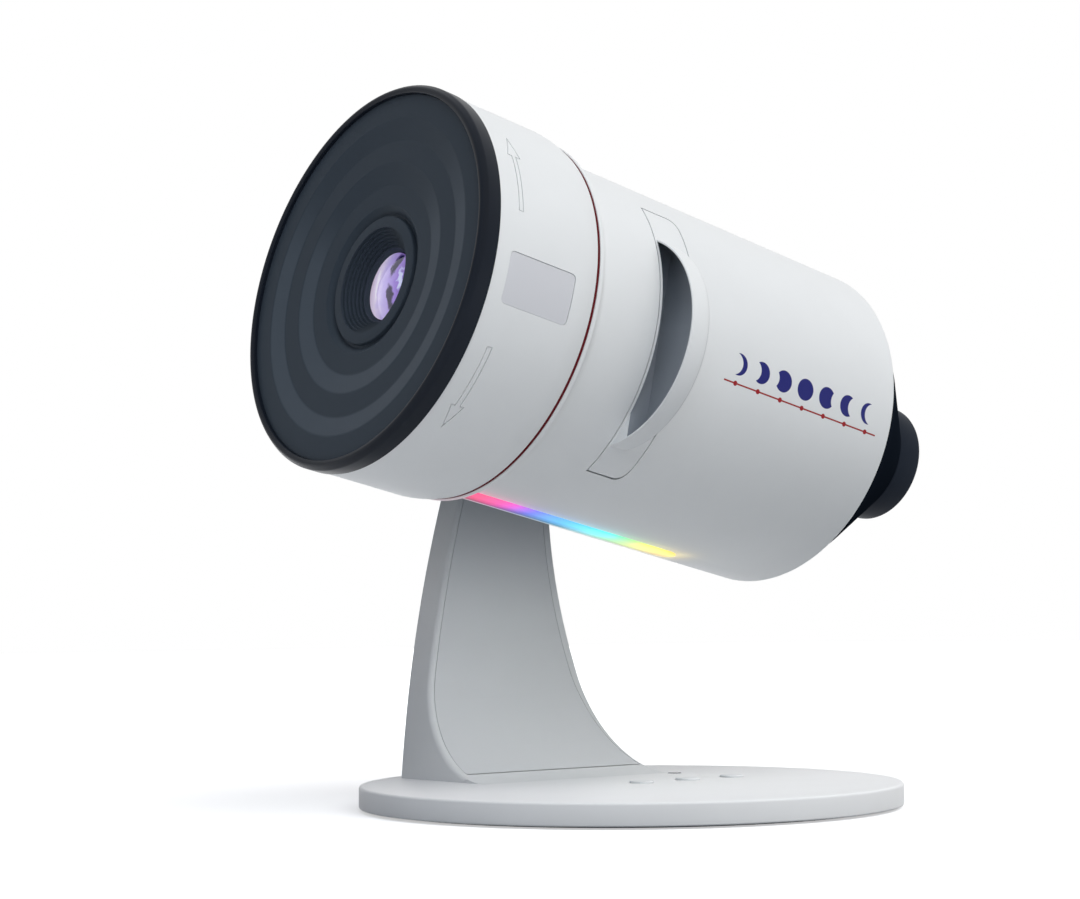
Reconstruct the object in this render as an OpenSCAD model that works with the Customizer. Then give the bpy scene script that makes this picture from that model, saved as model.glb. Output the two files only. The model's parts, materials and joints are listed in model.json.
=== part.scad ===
// Planetarium projector: a round barrel with a lens in front, held by one side arm above a round base.
// Millimetres, +Z up. The origin is the centre of the resting plane. The lens looks towards -Y, tilted
// up, and the disc drawer opens towards +X.
// In the barrel a place is given by its distance from the axis and by its depth, which is measured
// rearwards along the axis from the front rim.

/* [Base] */
// Radius of the round base
base_radius = 75; // [72:1:90]
// Height of the base shell above the mat's lift
base_height = 6; // [6:0.25:9]
// Wall of the base shell
base_wall = 1.6; // [1.2:0.1:1.6]
// Thickness of the bottom plate
plate_thickness = 1.5; // [1.3:0.1:1.5]
// How far the rubber mat stands proud
mat_lift = 0.5; // [0.3:0.1:1.5]
// Distance from the base's edge to the rubber mat's edge
mat_margin = 4; // [3.5:0.5:6]
// Distance from the base's edge to the steel ballast plate
ballast_margin = 15; // [14:1:25]
// Thickness of the steel ballast plate
ballast_thickness = 2.2; // [1:0.1:2.6]

/* [Buttons] */
// Radius of a button's cap
button_radius = 3.3; // [2.5:0.1:4.5]
// How far a button stands above the base
button_proud = 0.6; // [0.4:0.1:1.2]
// Travel of a button
button_travel = 0.35; // [0.2:0.05:0.4]
// Sideways place of the row of buttons
button_row_x = 6; // [0:1:12]
// Place of the first button along the row
button_first_y = -1; // [-6:1:6]
// Distance between the buttons
button_spacing = 17; // [12:1:18]

/* [Arm] */
// Distance from the barrel's centre plane to the arm's outer face
arm_outer = 60; // [58:0.5:64]
// Thickness of the arm above its foot
arm_thickness = 9.5; // [8.5:0.25:9.5]
// Wall of the arm's shell
arm_wall = 2.2; // [1.6:0.1:2.6]
// Half length of the arm's foot along the base, in front of the pivot
foot_half = 35.2; // [30:1:44]
// Radius of the arm's long front edge
front_radius = 396; // [300:5:600]
// Lean of the front edge where it leaves the base, in degrees
front_lean = 4.4; // [0:0.2:8]
// Radius of the arm's hollow rear edge
rear_radius = 155; // [130:5:200]
// Distance of the narrowest rear point behind the pivot
neck_rear = 12.5; // [10:0.5:18]
// Height of the narrowest rear point
neck_height = 92; // [85:1:100]
// Lean of the straight rear edge above the foot, in degrees
rear_lean = 18.8; // [15:0.2:22]
// Radius of the round head at the pivot
head_radius = 16; // [15:0.5:19]
// Radius of the flare where the arm's inner face runs into the base
foot_fillet = 30; // [26:1:34]
// Margin of shell left behind the inner cover
cover_margin = 2.4; // [1.5:0.1:3]
// Margin of shell left in front of the inner cover at its foot
cover_front_margin = 2.4; // [1.5:0.1:3]
// Thickness of the inner cover
cover_thickness = 2; // [1.2:0.1:2]
// Height of the tilt pivot above the resting plane
pivot_height = 121; // [117:1:140]

/* [Barrel] */
// Upward tilt of the barrel at rest, in degrees
rest_tilt = 12; // [0:1:30]
// Radius of the white body
body_radius = 47.4; // [47.4:0.1:48.4]
// Wall of the body and of its rear flange
body_wall = 2.2; // [1.8:0.1:2.2]
// Depth of the body's rear edge
body_depth = 152.4; // [148:0.2:160]
// Rounding of the body's rear edge
body_round = 1.2; // [0.8:0.1:2]
// Depth of the tilt pivot
pivot_depth = 92; // [90:1:96]
// Radius of the collar behind the focus ring
collar_radius = 50.2; // [49.6:0.1:50.6]
// Thickness of the red seam ring
seam_width = 1.3; // [0.8:0.1:2]
// How deep the red seam ring lies between the focus ring and the collar
seam_sunk = 1.1; // [0.6:0.1:1.3]
// Radius of the focus ring
ring_radius = 51.35; // [51:0.1:52]
// Depth where the focus ring ends
ring_end = 37.5; // [36.5:0.5:37.5]
// Depth where the black rim meets the focus ring
rim_depth = 5.5; // [4.5:0.5:6]
// Radius of the black rim
rim_radius = 51.7; // [51.4:0.1:52.4]
// Length of the label plate along the barrel
label_length = 20; // [14:0.5:24]
// Height of the label plate
label_height = 13; // [8:0.5:16]

/* [Lens] */
// Radius of the stepped hood's outer edge
hood_radius = 49.1; // [48.6:0.1:49.6]
// Radius of the first step's edge
first_band = 42.9; // [42:0.1:44]
// Width of each following step
band_width = 5.8; // [5.5:0.1:6]
// Fall of each sloped step
band_fall = 1.25; // [0.8:0.05:1.4]
// Radius of the groove round the hub
groove_radius = 18.6; // [18.2:0.1:19]
// How much wider the groove is at its mouth
groove_flare = 1.4; // [0.4:0.1:1.8]
// Outer radius of the lens bore
bore_front_radius = 14.2; // [13.5:0.1:15]
// Inner radius of the lens bore
bore_radius = 9.4; // [8.5:0.1:9.4]
// Number of baffle steps in the bore
baffle_steps = 7; // [4:1:10]
// Radius of the sliding lens cell
cell_radius = 15; // [14.5:0.1:15.2]
// Travel of the lens each way
focus_travel = 1.5; // [1:0.1:1.8]
// Turn of the focus ring each way, in degrees
focus_turn = 45; // [30:5:45]
// Radius of the follower pins
pin_radius = 1.5; // [1.2:0.1:1.6]

/* [Disc drawer] */
// Depth of the drawer front's front edge
drawer_front = 62; // [61.6:0.1:63]
// Width of the drawer front along the barrel
drawer_width = 11.5; // [11.5:0.1:12]
// Height of the drawer front above the axis
drawer_top = 32.9; // [32.5:0.1:34]
// Reach of the drawer front below the axis
drawer_bottom = 38.1; // [34:0.1:39]
// Rounding of the drawer front's rear corners
drawer_corner = 2.5; // [2:0.5:5]
// Distance of the handle arc's centre from the axis
handle_centre = 31.7; // [31:0.1:33]
// Height of the handle arc's centre above the axis
handle_rise = -3.6; // [-5:0.2:0]
// Inner radius of the handle's arc
handle_radius = 26.8; // [25:0.1:28]
// Thickness of the handle
handle_thickness = 1.8; // [1.4:0.1:2.5]
// Width of the handle along the barrel
handle_width = 7.4; // [6:0.2:9]
// Thickness of the web that closes the handle's rear side
handle_web = 1.4; // [1.2:0.1:2]
// Distance of the finger pocket's floor from the axis
pocket_floor = 41; // [39:0.5:44]
// Teeth on the disc's rim, a multiple of four
rim_teeth = 60; // [60:4:60]
// Teeth on the motor's pinion
pinion_teeth = 10; // [10:1:10]
// Size of a tooth, as pitch diameter divided by teeth
tooth_module = 1; // [1:0.01:1.01]
// Radius of the star film disc
film_radius = 24.4; // [23.8:0.1:24.4]
// Thickness of the star film disc
film_thickness = 1; // [0.8:0.1:1.4]

/* [Light] */
// Depth of the light bar's front end
bar_start = 43.2; // [43:0.5:50]
// Depth of the light bar's rear end
bar_end = 119; // [100:1:125]
// Width of the light bar
bar_width = 10; // [8:0.5:13]
// How far the light bar stands proud of the body
bar_proud = 0.1; // [0.1:0.1:1.5]
// Radius of the condenser lens
condenser_radius = 14; // [12:0.5:16]
// Radius of the heat sink
sink_radius = 26; // [24:0.5:27]
// Number of heat sink fins
fin_count = 9; // [5:2:11]

/* [Rear] */
// Radius of the rear knob
knob_radius = 17.8; // [15:0.1:18.4]
// Length of the rear knob
knob_length = 9.2; // [7:0.2:9.8]
// Radius of the rear cover where it leaves the body
cover_radius = 42.8; // [42:0.1:42.8]
// Fall of the cover's cone, as radius lost for each millimetre of depth
cone_slope = 0.808; // [0.79:0.002:0.82]
// Wall of the rear cover
rear_wall = 2; // [1.6:0.1:2.4]

/* [Fits] */
// Radial play of a turning or sliding fit
running_play = 0.06; // [0.02:0.01:0.1]
// Gap round a panel or a seated piece
panel_gap = 0.35; // [0.15:0.05:0.4]
// Gap round a piece that is pressed or glued in
seat_gap = 0.03; // [0.01:0.01:0.1]

/* [Hidden] */
$fn = 128;
far = 400;
past = 1;

// Levels of the base
plate_top = mat_lift + plate_thickness;
base_top = mat_lift + base_height;
ceiling = base_top - base_wall;
side_wall = 2;
mat_recess = 0.4;
board_thickness = 0.8;
board_top = plate_top + board_thickness;
switch_top = board_top + 0.9;
nib_top = switch_top + 0.2;
flange_bottom = nib_top + button_travel + 0.05;
mat_radius = base_radius - mat_margin;
ballast_radius = base_radius - ballast_margin;
base_screw_reach = base_radius - 9;
base_screw_angles = [45, 135, 225, 315];
button_places = [for (i = [0:2]) [button_row_x, button_first_y + i * button_spacing]];
indicator_place = [button_row_x - 24, button_places[2][1]];
indicator_radius = 2;
board_low = [-27, -12];
board_high = [16, base_radius - 11];
board_margin = 1;
inlet_width = 9;
inlet_length = 7.4;

// Outline of the arm
arm_inner = arm_outer - arm_thickness;
flare_end = arm_inner - foot_fillet;
flare_level = base_top + foot_fillet;
function edge_centre(half, lean) = [-half + front_radius * cos(lean), base_top - front_radius * sin(lean)];
front_centre = edge_centre(foot_half, front_lean);
cover_centre = edge_centre(foot_half - cover_front_margin, front_lean - 0.6);
cover_lean = rear_lean + 3;
edge_cross = 1.5;
rear_centre = [neck_rear + rear_radius, neck_height];
shoulder_height = pivot_height - 33;
cover_top = pivot_height - head_radius - 2;
cover_bottom = base_top + arm_wall;
ledge = 1.6;
seam_gap = 0.15;
arm_screw_places = [[arm_outer - 6, 25], [arm_outer - 6, -25], [arm_outer - 16, 14], [arm_outer - 16, -14]];
arm_screw_tip = base_top + 4;

// Tilt pivot, as distances from the barrel's centre plane
hub_face = arm_inner - 0.9;
hub_back = body_radius - 5.4;
hub_radius = 13;
shaft_radius = 5;
thread_radius = 4;
bush_radius = 7;
bush_end = arm_outer - 4;
recess_radius = 12.4;
nut_start = bush_end + 1.1;

// Levels along the barrel
inner_radius = body_radius - body_wall;
seat_radius = inner_radius - 0.1;
neck_start = rim_depth + 5;
seam_start = ring_end + 0.15;
collar_start = seam_start + seam_width;
collar_end = collar_start + 1.2;
ring_bore = body_radius + running_play;
keeper_start = 20;
label_start = rim_depth + 4.5;
label_angle = -5.1;
label_sunk = 0.15;
label_pocket = 0.5;
label_gap = 0.1;
hood_front = 1.5;
hood_wall = 1.6;
hub_front = hood_front + 2 * band_fall + 0.65;
bore_end = hub_front + 5.3;
sleeve_start = hood_front + 2 * band_fall + 3.6;
sleeve_bore = cell_radius + running_play + 2 + running_play;
guide_wall = 2;
sleeve_wall = 1.9;
sleeve_end = 36;
guide_start = sleeve_start + 4.4;
guide_end = 40.7;
bulkhead_thickness = 2.5;
cell_start = bore_end + 2.9;
cell_length = 21.2;
lens_seat = cell_start + 1.8;
lens_edge = 3;
pin_depth = cell_start + 9.2;
lens_radius = cell_radius - 4.65;
lens_dome = 1.8;
dome_radius = bore_radius - 0.3;
nose_length = 4.25;
slot_steps = 15;

// Disc drawer
bay_wall = 1.6;
bay_start = drawer_front - 0.4 - bay_wall;
bay_back = drawer_front + drawer_width + 0.5;
frame_start = drawer_front + 0.8;
frame_plate = 1.6;
gear_start = frame_start + frame_plate + 0.2;
gear_width = 4.8;
collar_bore = film_radius + 0.6;
slide_gap = 0.3;
rim_pitch = rim_teeth * tooth_module / 2;
pinion_pitch = pinion_teeth * tooth_module / 2;
mesh_angle = 165;
mesh_distance = rim_pitch + pinion_pitch + 0.2;
pinion_place = [mesh_distance * cos(mesh_angle), mesh_distance * sin(mesh_angle)];
motor_shaft = 1;
light_hole = 16;
pocket_lip = 0.7;
handle_start = drawer_front + 0.5;
handle_end = handle_start + handle_width;
web_start = handle_end - handle_web;
pocket_skin = 1.4;

// Lamp and rear
sink_base = 4;
lamp_level = bay_back + 34;
bulkhead_level = lamp_level + sink_base;
condenser_rise = 4.5;
condenser_edge = 2.5;
condenser_front = lamp_level - 25;
condenser_back = condenser_front + condenser_rise + condenser_edge;
hub_room = 1;
post_reach = 32.2;
post_radius = 3;
post_angles = [90, 210, 330];
board_level = body_depth - 14;
fin_end = board_level - 6;
flange_bore = post_reach + post_radius + 0.8;
flange_fillet = 1.5;
shoulder_depth = body_depth + 7.5;
shoulder_radius = cover_radius - 1.9;
cone_end = shoulder_depth + (shoulder_radius - knob_radius - 1.2) / cone_slope;
knob_start = cone_end + 1.3;
dial_shaft = 3;
bar_flat = body_radius - 3.6;

// Helpers
module upright_bar(low, high, radius) {
    translate([0, 0, low]) cylinder(h = high - low, r = radius);
}

module upright_ring(low, high, outer, inner) {
    difference() {
        upright_bar(low, high, outer);
        upright_bar(low - past, high + past, inner);
    }
}

// Places things in the barrel: x to the drawer side, y up, -z rearwards from the front rim
module in_barrel() {
    translate([0, 0, pivot_height]) rotate([90 - rest_tilt, 0, 0]) translate([0, 0, pivot_depth]) children();
}

// Things stood on the tilt axis: z runs outwards through the arm, from the barrel's centre plane
module on_tilt_axis() {
    translate([0, 0, pivot_height]) rotate([0, -90, 0]) children();
}

module bar(start, end, radius) {
    translate([0, 0, -end]) cylinder(h = end - start, r = radius);
}

module tube(start, end, outer, inner) {
    difference() {
        bar(start, end, outer);
        bar(start - past, end + past, inner);
    }
}

// A solid of revolution about the barrel axis from points [radius, depth]
module turned(profile) {
    rotate_extrude() polygon([for (p = profile) [p[0], -p[1]]]);
}

// Extrudes an outline drawn as (depth, height) sideways, from one distance to another
module sideways(from, to) {
    rotate([0, 90, 0]) translate([0, 0, from]) linear_extrude(to - from) children();
}

// Extrudes an outline drawn as (sideways, depth) upwards, from one height to another
module upwards(from, to) {
    rotate([-90, 0, 0]) translate([0, 0, from]) linear_extrude(to - from) children();
}

module rounded_rectangle(low, high, corner) {
    translate([low[0] + corner, low[1]]) square([high[0] - low[0] - 2 * corner, high[1] - low[1]]);
    translate([low[0], low[1] + corner]) square([high[0] - low[0], high[1] - low[1] - 2 * corner]);
    for (x = [low[0] + corner, high[0] - corner])
        for (y = [low[1] + corner, high[1] - corner])
            translate([x, y]) circle(r = corner, $fn = 48);
}

module box(low, high) {
    translate(low) cube(high - low);
}

function arc_points(centre, radius, from, to, steps) =
    [for (i = [0:steps]) let (a = from + (to - from) * i / steps)
        [centre[0] + radius * cos(a), centre[1] + radius * sin(a)]];

function gear_outline(teeth, root, tip, root_half, tip_half) =
    [for (i = [0:teeth - 1])
        for (p = [[root, -root_half], [tip, -tip_half], [tip, tip_half], [root, root_half]])
        let (a = i * 360 / teeth + p[1]) [p[0] * cos(a), p[0] * sin(a)]];

// Base

module base_boss_places() {
    for (a = base_screw_angles) rotate([0, 0, a]) translate([base_screw_reach, 0, 0]) children();
}

module base_shell() color("white") difference() {
    union() {
        difference() {
            rotate_extrude() polygon(concat([[0, mat_lift], [base_radius - 0.5, mat_lift],
                [base_radius, mat_lift + 0.5]],
                arc_points([base_radius - 0.8, base_top - 0.8], 0.8, 0, 90, 6), [[0, base_top]]));
            upright_bar(mat_lift - past, ceiling, base_radius - side_wall);
        }
        base_boss_places() upright_bar(plate_top, ceiling + 0.1, 3.5);
    }
    base_boss_places() upright_bar(plate_top - past, ceiling - 0.4, 1.25);
    for (p = button_places) translate([p[0], p[1], 0])
        upright_bar(mat_lift, base_top + past, button_radius + 0.15);
    translate([indicator_place[0], indicator_place[1], 0])
        upright_bar(mat_lift, base_top + past, indicator_radius + seat_gap);
    for (p = arm_screw_places) translate([-p[0], p[1], 0]) upright_bar(mat_lift, base_top + past, 1.6);
    box([-inlet_width / 2 - 0.1, base_radius - 6, plate_top],
        [inlet_width / 2 + 0.1, base_radius + past, ceiling]);
}

module base_plate() color("gainsboro") difference() {
    upright_bar(mat_lift, plate_top, base_radius - side_wall - 0.2);
    upright_bar(mat_lift - past, mat_lift + mat_recess, mat_radius + 0.1);
    base_boss_places() upright_bar(mat_lift - past, plate_top + past, 1.4);
    base_boss_places() upright_bar(mat_lift - past, mat_lift + 0.9, 2.6);
}

module rubber_mat() color("dimgray") difference() {
    upright_bar(0, mat_lift + mat_recess, mat_radius);
    base_boss_places() upright_bar(-past, plate_top, 3.2);
}

module ballast_plate() color("slategray") difference() {
    upright_bar(plate_top, plate_top + ballast_thickness, ballast_radius);
    box([board_low[0] - board_margin, board_low[1] - board_margin, 0],
        [board_high[0] + board_margin, board_high[1] + board_margin, ceiling]);
    for (p = arm_screw_places) translate([-p[0], p[1], 0]) upright_bar(0, ceiling, 4);
}

module base_screws() color("silver") base_boss_places() {
    upright_bar(mat_lift, mat_lift + 0.9, 2.4);
    upright_bar(mat_lift + 0.9, ceiling - 0.5, 1.2);
}

module control_board() color("seagreen")
    box([board_low[0], board_low[1], plate_top], [board_high[0], board_high[1], board_top]);

module button_switches() color("gray") for (p = button_places) translate([p[0], p[1], 0]) {
    box([-2.6, -2.6, board_top], [2.6, 2.6, switch_top]);
    upright_bar(switch_top, nib_top, 1.2);
}

module button(place) color("whitesmoke") translate([place[0], place[1], 0]) {
    upright_bar(flange_bottom, ceiling - 0.1, button_radius + 0.8);
    upright_bar(ceiling - 0.1, base_top + button_proud - 0.3, button_radius);
    translate([0, 0, base_top + button_proud - 0.3])
        cylinder(h = 0.3, r1 = button_radius, r2 = button_radius - 0.3);
}

module power_button() button(button_places[0]);

module motion_button() button(button_places[1]);

module light_button() button(button_places[2]);

module indicator_lens() color("lightgray") translate([indicator_place[0], indicator_place[1], 0]) {
    upright_bar(board_top, ceiling, indicator_radius + 0.6);
    upright_bar(ceiling, base_top + 0.2, indicator_radius);
}

module power_inlet() color("silver") difference() {
    box([-inlet_width / 2, base_radius - 1 - inlet_length, plate_top],
        [inlet_width / 2, base_radius - 1, ceiling]);
    box([-inlet_width / 2 + 0.4, base_radius - inlet_length, plate_top + 0.4],
        [inlet_width / 2 - 0.4, base_radius, ceiling - 0.4]);
}

// Arm

function front_edge(height) =
    front_centre[0] - sqrt(front_radius * front_radius - pow(height - front_centre[1], 2));

// Side outline of an arm piece between two heights: its front edge is part of a circle round centre, and its
// rear edge is hollow above and straight, with the given lean, above the foot. The straight part starts
// inside the hollow, so that the two cross at the small angle edge_cross. Inset draws both edges in.
module edge_outline(centre, inset, margin, lean, low, high) {
    reach = rear_radius + margin + inset;
    turn = rear_centre - reach * [cos(lean + edge_cross), sin(lean + edge_cross)];
    start = turn + reach * sin(edge_cross) * [-sin(lean), cos(lean)];
    difference() {
        intersection() {
            translate([-far / 2, low]) square([far, high - low]);
            translate(centre) circle(r = front_radius - inset, $fn = 720);
        }
        translate(rear_centre) circle(r = reach, $fn = 360);
        polygon([start, start + far * [sin(lean), -cos(lean)], [far, start[1] - far], [far, start[1]]]);
    }
}

module arm_outline(low, high) edge_outline(front_centre, 0, 0, rear_lean, low, high);

module cover_outline(inset, low, high) edge_outline(cover_centre, inset, cover_margin, cover_lean, low, high);

// Extrudes a side outline of the arm sideways, from one distance beside the barrel to a lesser one
module arm_slab(from, to) {
    translate([-from, 0, 0]) rotate([90, 0, 90]) linear_extrude(from - to) children();
}

// What lies on the barrel's side of the arm's inner face, moved into the arm by sunk
module inner_side(sunk) {
    box([-arm_inner - sunk, -far / 2, flare_level], [0, far / 2, far]);
    translate([-flare_end, far / 2, flare_level]) rotate([90, 0, 0])
        cylinder(h = far, r = foot_fillet + sunk, $fn = 256);
}

module arm_head() {
    on_tilt_axis() upright_bar(arm_inner, arm_outer, head_radius);
    translate([-arm_outer, 0, 0]) rotate([90, 0, 90]) linear_extrude(arm_thickness)
        polygon([[front_edge(shoulder_height), shoulder_height], [0, shoulder_height], [0, pivot_height],
            [-head_radius, pivot_height]]);
}

module arm_screw_spots() {
    for (p = arm_screw_places) translate([-p[0], p[1], 0]) children();
}

module arm_shell() color("whitesmoke") difference() {
    union() {
        difference() {
            union() {
                arm_slab(arm_outer, flare_end) arm_outline(base_top, pivot_height);
                arm_head();
            }
            arm_slab(arm_outer - arm_wall, flare_end) cover_outline(ledge, cover_bottom, cover_top - ledge);
            intersection() {
                arm_slab(arm_outer, flare_end)
                    cover_outline(-seam_gap, cover_bottom - seam_gap, cover_top + seam_gap);
                inner_side(cover_thickness);
            }
        }
        intersection() {
            arm_screw_spots() upright_bar(base_top, arm_screw_tip + 1, 3.4);
            arm_slab(arm_outer - 1, flare_end) cover_outline(0, base_top, cover_top);
        }
    }
    inner_side(0);
    arm_screw_spots() upright_bar(base_top - past, arm_screw_tip, 1.25);
    on_tilt_axis() upright_bar(0, arm_outer, bush_radius + seat_gap);
    on_tilt_axis() upright_bar(bush_end, arm_outer + past, recess_radius);
}

module arm_cover() color("gainsboro") difference() {
    intersection() {
        arm_slab(arm_outer, flare_end) cover_outline(0, cover_bottom, cover_top);
        inner_side(cover_thickness - 0.02);
    }
    inner_side(0);
}

module arm_screws() color("silver") arm_screw_spots() {
    upright_bar(ceiling - 0.6, ceiling, 2.8);
    upright_bar(ceiling, arm_screw_tip - 0.3, 1.2);
}

module arm_ribbon_cable() color("darkgray")
    box([-arm_outer + arm_wall, -8, cover_bottom + 0.3],
        [-arm_outer + arm_wall + 0.5, 2, cover_top - ledge - 1]);

module pivot_bush() color("goldenrod") on_tilt_axis()
    upright_ring(arm_inner, bush_end, bush_radius, shaft_radius + running_play);

module friction_washer() color("dimgray") on_tilt_axis()
    upright_ring(hub_face + 0.05, arm_inner, hub_radius - 1, shaft_radius + 0.3);

module pivot_cap() color("whitesmoke") on_tilt_axis() {
    upright_bar(arm_outer, arm_outer + 1.2, recess_radius + 1.1);
    translate([0, 0, arm_outer + 1.2]) cylinder(h = 0.4, r1 = recess_radius + 1.1, r2 = recess_radius + 0.6);
    upright_ring(arm_outer - 1.6, arm_outer, recess_radius - 0.05, recess_radius - 1.2);
}

// Barrel

// The drawer front's outline as seen from its side, drawn larger by gap
module drawer_outline(gap) {
    back = drawer_front + drawer_width;
    translate([drawer_front - gap, -drawer_bottom - gap])
        square([drawer_width - drawer_corner + gap, drawer_top + drawer_bottom + 2 * gap]);
    translate([drawer_front - gap, -drawer_bottom + drawer_corner])
        square([drawer_width + 2 * gap, drawer_top + drawer_bottom - 2 * drawer_corner]);
    for (y = [-drawer_bottom + drawer_corner, drawer_top - drawer_corner])
        translate([back - drawer_corner, y]) circle(r = drawer_corner + gap, $fn = 48);
}

module bar_outline(gap) {
    reach = bar_width / 2;
    translate([-reach - gap, bar_start - gap])
        square([bar_width + 2 * gap, bar_end - bar_start - reach + gap]);
    translate([0, bar_end - reach]) circle(r = reach + gap, $fn = 64);
}

// Room for the light strip in the walls that cross the barrel
module strip_notch(start, end) {
    box([-bar_width / 2 - 1, -far, -end - past], [bar_width / 2 + 1, -bar_flat + 2.2, -start + past]);
}

// Room for the tilt shaft's flange and screws in the walls that cross the barrel
module shaft_room() {
    translate([0, 0, -pivot_depth]) rotate([0, -90, 0])
        upright_bar(hub_back - 3 - hub_room, far, hub_radius + hub_room);
}

module barrel_shell() color("white") in_barrel() difference() {
    union() {
        turned(concat([[inner_radius, neck_start], [body_radius, neck_start], [body_radius, collar_start],
            [collar_radius, collar_start], [collar_radius, collar_end], [body_radius, collar_end + 2]],
            arc_points([body_radius - body_round, body_depth - body_round], body_round, 0, 90, 8),
            [[flange_bore, body_depth], [flange_bore, body_depth - body_wall],
            [inner_radius - flange_fillet, body_depth - body_wall],
            [inner_radius, body_depth - body_wall - flange_fillet]]));
        translate([0, 0, -pivot_depth]) rotate([0, -90, 0]) upright_bar(hub_back, hub_face, hub_radius);
    }
    tube(keeper_start, keeper_start + 1.5, far / 2, body_radius - 0.8);
    sideways(0, far / 2) drawer_outline(panel_gap);
    upwards(-far / 2, 0) bar_outline(0.12);
    translate([0, 0, -pivot_depth]) rotate([0, -90, 0]) {
        upright_bar(0, far / 2, shaft_radius + 0.02);
        shaft_screw_places() upright_bar(hub_back - past, hub_back + 5, 0.9);
    }
}

module seam_ring() color("darkred") in_barrel()
    tube(seam_start, collar_start - 0.02, collar_radius - seam_sunk, body_radius + seat_gap);

module ring_keeper() color("gray") in_barrel()
    tube(keeper_start + 0.1, keeper_start + 1.4, body_radius + 1, body_radius - 0.75);

module front_bulkhead() color("darkslategray") in_barrel() difference() {
    tube(guide_end, guide_end + bulkhead_thickness, seat_radius, cell_radius - 2);
    strip_notch(guide_end, guide_end + bulkhead_thickness);
}

module guide_tube() color("dimgray") in_barrel() difference() {
    union() {
        tube(guide_start, guide_end, cell_radius + running_play + guide_wall, cell_radius + running_play);
        tube(guide_end - 2, guide_end, cell_radius + 9, cell_radius + running_play);
    }
    for (a = post_angles) rotate([0, 0, a]) sideways(cell_radius - 2, cell_radius + 6)
        rounded_rectangle([pin_depth - focus_travel - pin_radius - 0.2, -pin_radius - 0.1],
            [pin_depth + focus_travel + pin_radius + 0.2, pin_radius + 0.1], pin_radius);
}

module disc_bay() color("darkslategray") in_barrel() difference() {
    bar(bay_start, bay_back + bay_wall, seat_radius);
    box([-far, -drawer_bottom - slide_gap, -bay_back], [far, drawer_top + slide_gap, -bay_start - bay_wall]);
    bar(bay_start - past, bay_back + bay_wall + past, light_hole);
    strip_notch(bay_start, bay_back + bay_wall);
    shaft_room();
    translate([pinion_place[0], pinion_place[1], 0])
        bar(bay_back - past, bay_back + bay_wall + past, motor_shaft + 1);
    sideways(0, far) drawer_outline(panel_gap);
}

module drive_motor() color("silver") in_barrel() translate([pinion_place[0], pinion_place[1], 0]) {
    difference() {
        box([-5, -6, -bay_back - bay_wall - 24], [5, 6, -bay_back - bay_wall - 0.05]);
        bar(bay_back, bay_back + 12, motor_shaft + running_play);
    }
}

module condenser_holder() color("darkslategray") in_barrel() difference() {
    tube(condenser_front + 1, lamp_level - 0.02, condenser_radius + 2, condenser_radius - 1);
    bar(condenser_front, condenser_back, condenser_radius + 0.05);
}

module condenser_lens() color("lightcyan") in_barrel()
    turned(concat([[0, condenser_back], [condenser_radius, condenser_back],
        [condenser_radius, condenser_back - condenser_edge]],
        [for (i = [5:-1:0]) [condenser_radius * i / 6, condenser_front + condenser_rise * pow(i / 6, 2)]]));

module led_board() color("gold") in_barrel() {
    bar(lamp_level - 1.6, lamp_level, 10);
    box([-2.5, -2.5, -lamp_level + 1.6], [2.5, 2.5, -lamp_level + 2.6]);
}

module heat_sink() color("silver") in_barrel() {
    bar(lamp_level, lamp_level + sink_base, sink_radius);
    intersection() {
        bar(lamp_level + sink_base - 0.5, fin_end, sink_radius - 6);
        for (i = [0:fin_count - 1])
            let (x = (i - (fin_count - 1) / 2) * 2 * (sink_radius - 7) / fin_count)
            box([x - 0.6, -far, -far], [x + 0.6, far, far]);
    }
}

module rear_bulkhead() color("darkslategray") in_barrel() difference() {
    tube(bulkhead_level, bulkhead_level + bulkhead_thickness, seat_radius, sink_radius - 5);
    post_places() bar(bulkhead_level - past, bulkhead_level + bulkhead_thickness + past, 1.6);
    strip_notch(bulkhead_level, bulkhead_level + bulkhead_thickness);
    shaft_room();
}

module post_places() {
    for (a = post_angles) rotate([0, 0, a]) translate([post_reach, 0, 0]) children();
}

module rear_screws() color("silver") in_barrel() post_places() {
    bar(bulkhead_level - 1.8, bulkhead_level, 2.8);
    bar(bulkhead_level, bulkhead_level + 12, 1.3);
}

module main_board() color("seagreen") in_barrel() difference() {
    bar(board_level, board_level + 1.6, post_reach + post_radius + 0.3);
    post_places() bar(board_level - past, board_level + 2 + past, post_radius + 0.1);
}

module light_bar() color("aquamarine") in_barrel() intersection() {
    bar(bar_start - past, bar_end + past, body_radius + bar_proud);
    upwards(-far / 2, -bar_flat) bar_outline(0);
}

module light_strip() color("seagreen") in_barrel()
    box([-4, -bar_flat, -bar_end + 3], [4, -bar_flat + 1.2, -bar_start - 1]);

module rear_cover() color("#22272e") in_barrel() difference() {
    union() {
        turned([[cover_radius, body_depth], [cover_radius, body_depth + 3.2],
            [cover_radius - 0.5, body_depth + 5], [shoulder_radius, shoulder_depth],
            [knob_radius + 1.2, cone_end], [knob_radius + 0.4, cone_end + 0.7],
            [4.6, cone_end + 0.7], [4.6, cone_end + 0.7 - rear_wall],
            [knob_radius - 0.6, cone_end + 0.7 - rear_wall],
            [shoulder_radius - rear_wall * 1.1, shoulder_depth - 0.6],
            [cover_radius - rear_wall, body_depth + 4],
            [post_reach + 1.6, body_depth + 4], [post_reach + 1.6, body_depth - 3],
            [post_reach + post_radius + 0.6, body_depth - 3], [post_reach + post_radius + 0.6, body_depth]]);
        post_places() bar(bulkhead_level + bulkhead_thickness, body_depth + 4, post_radius);
    }
    post_places() bar(bulkhead_level, bulkhead_level + 14, 1.35);
}

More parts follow.
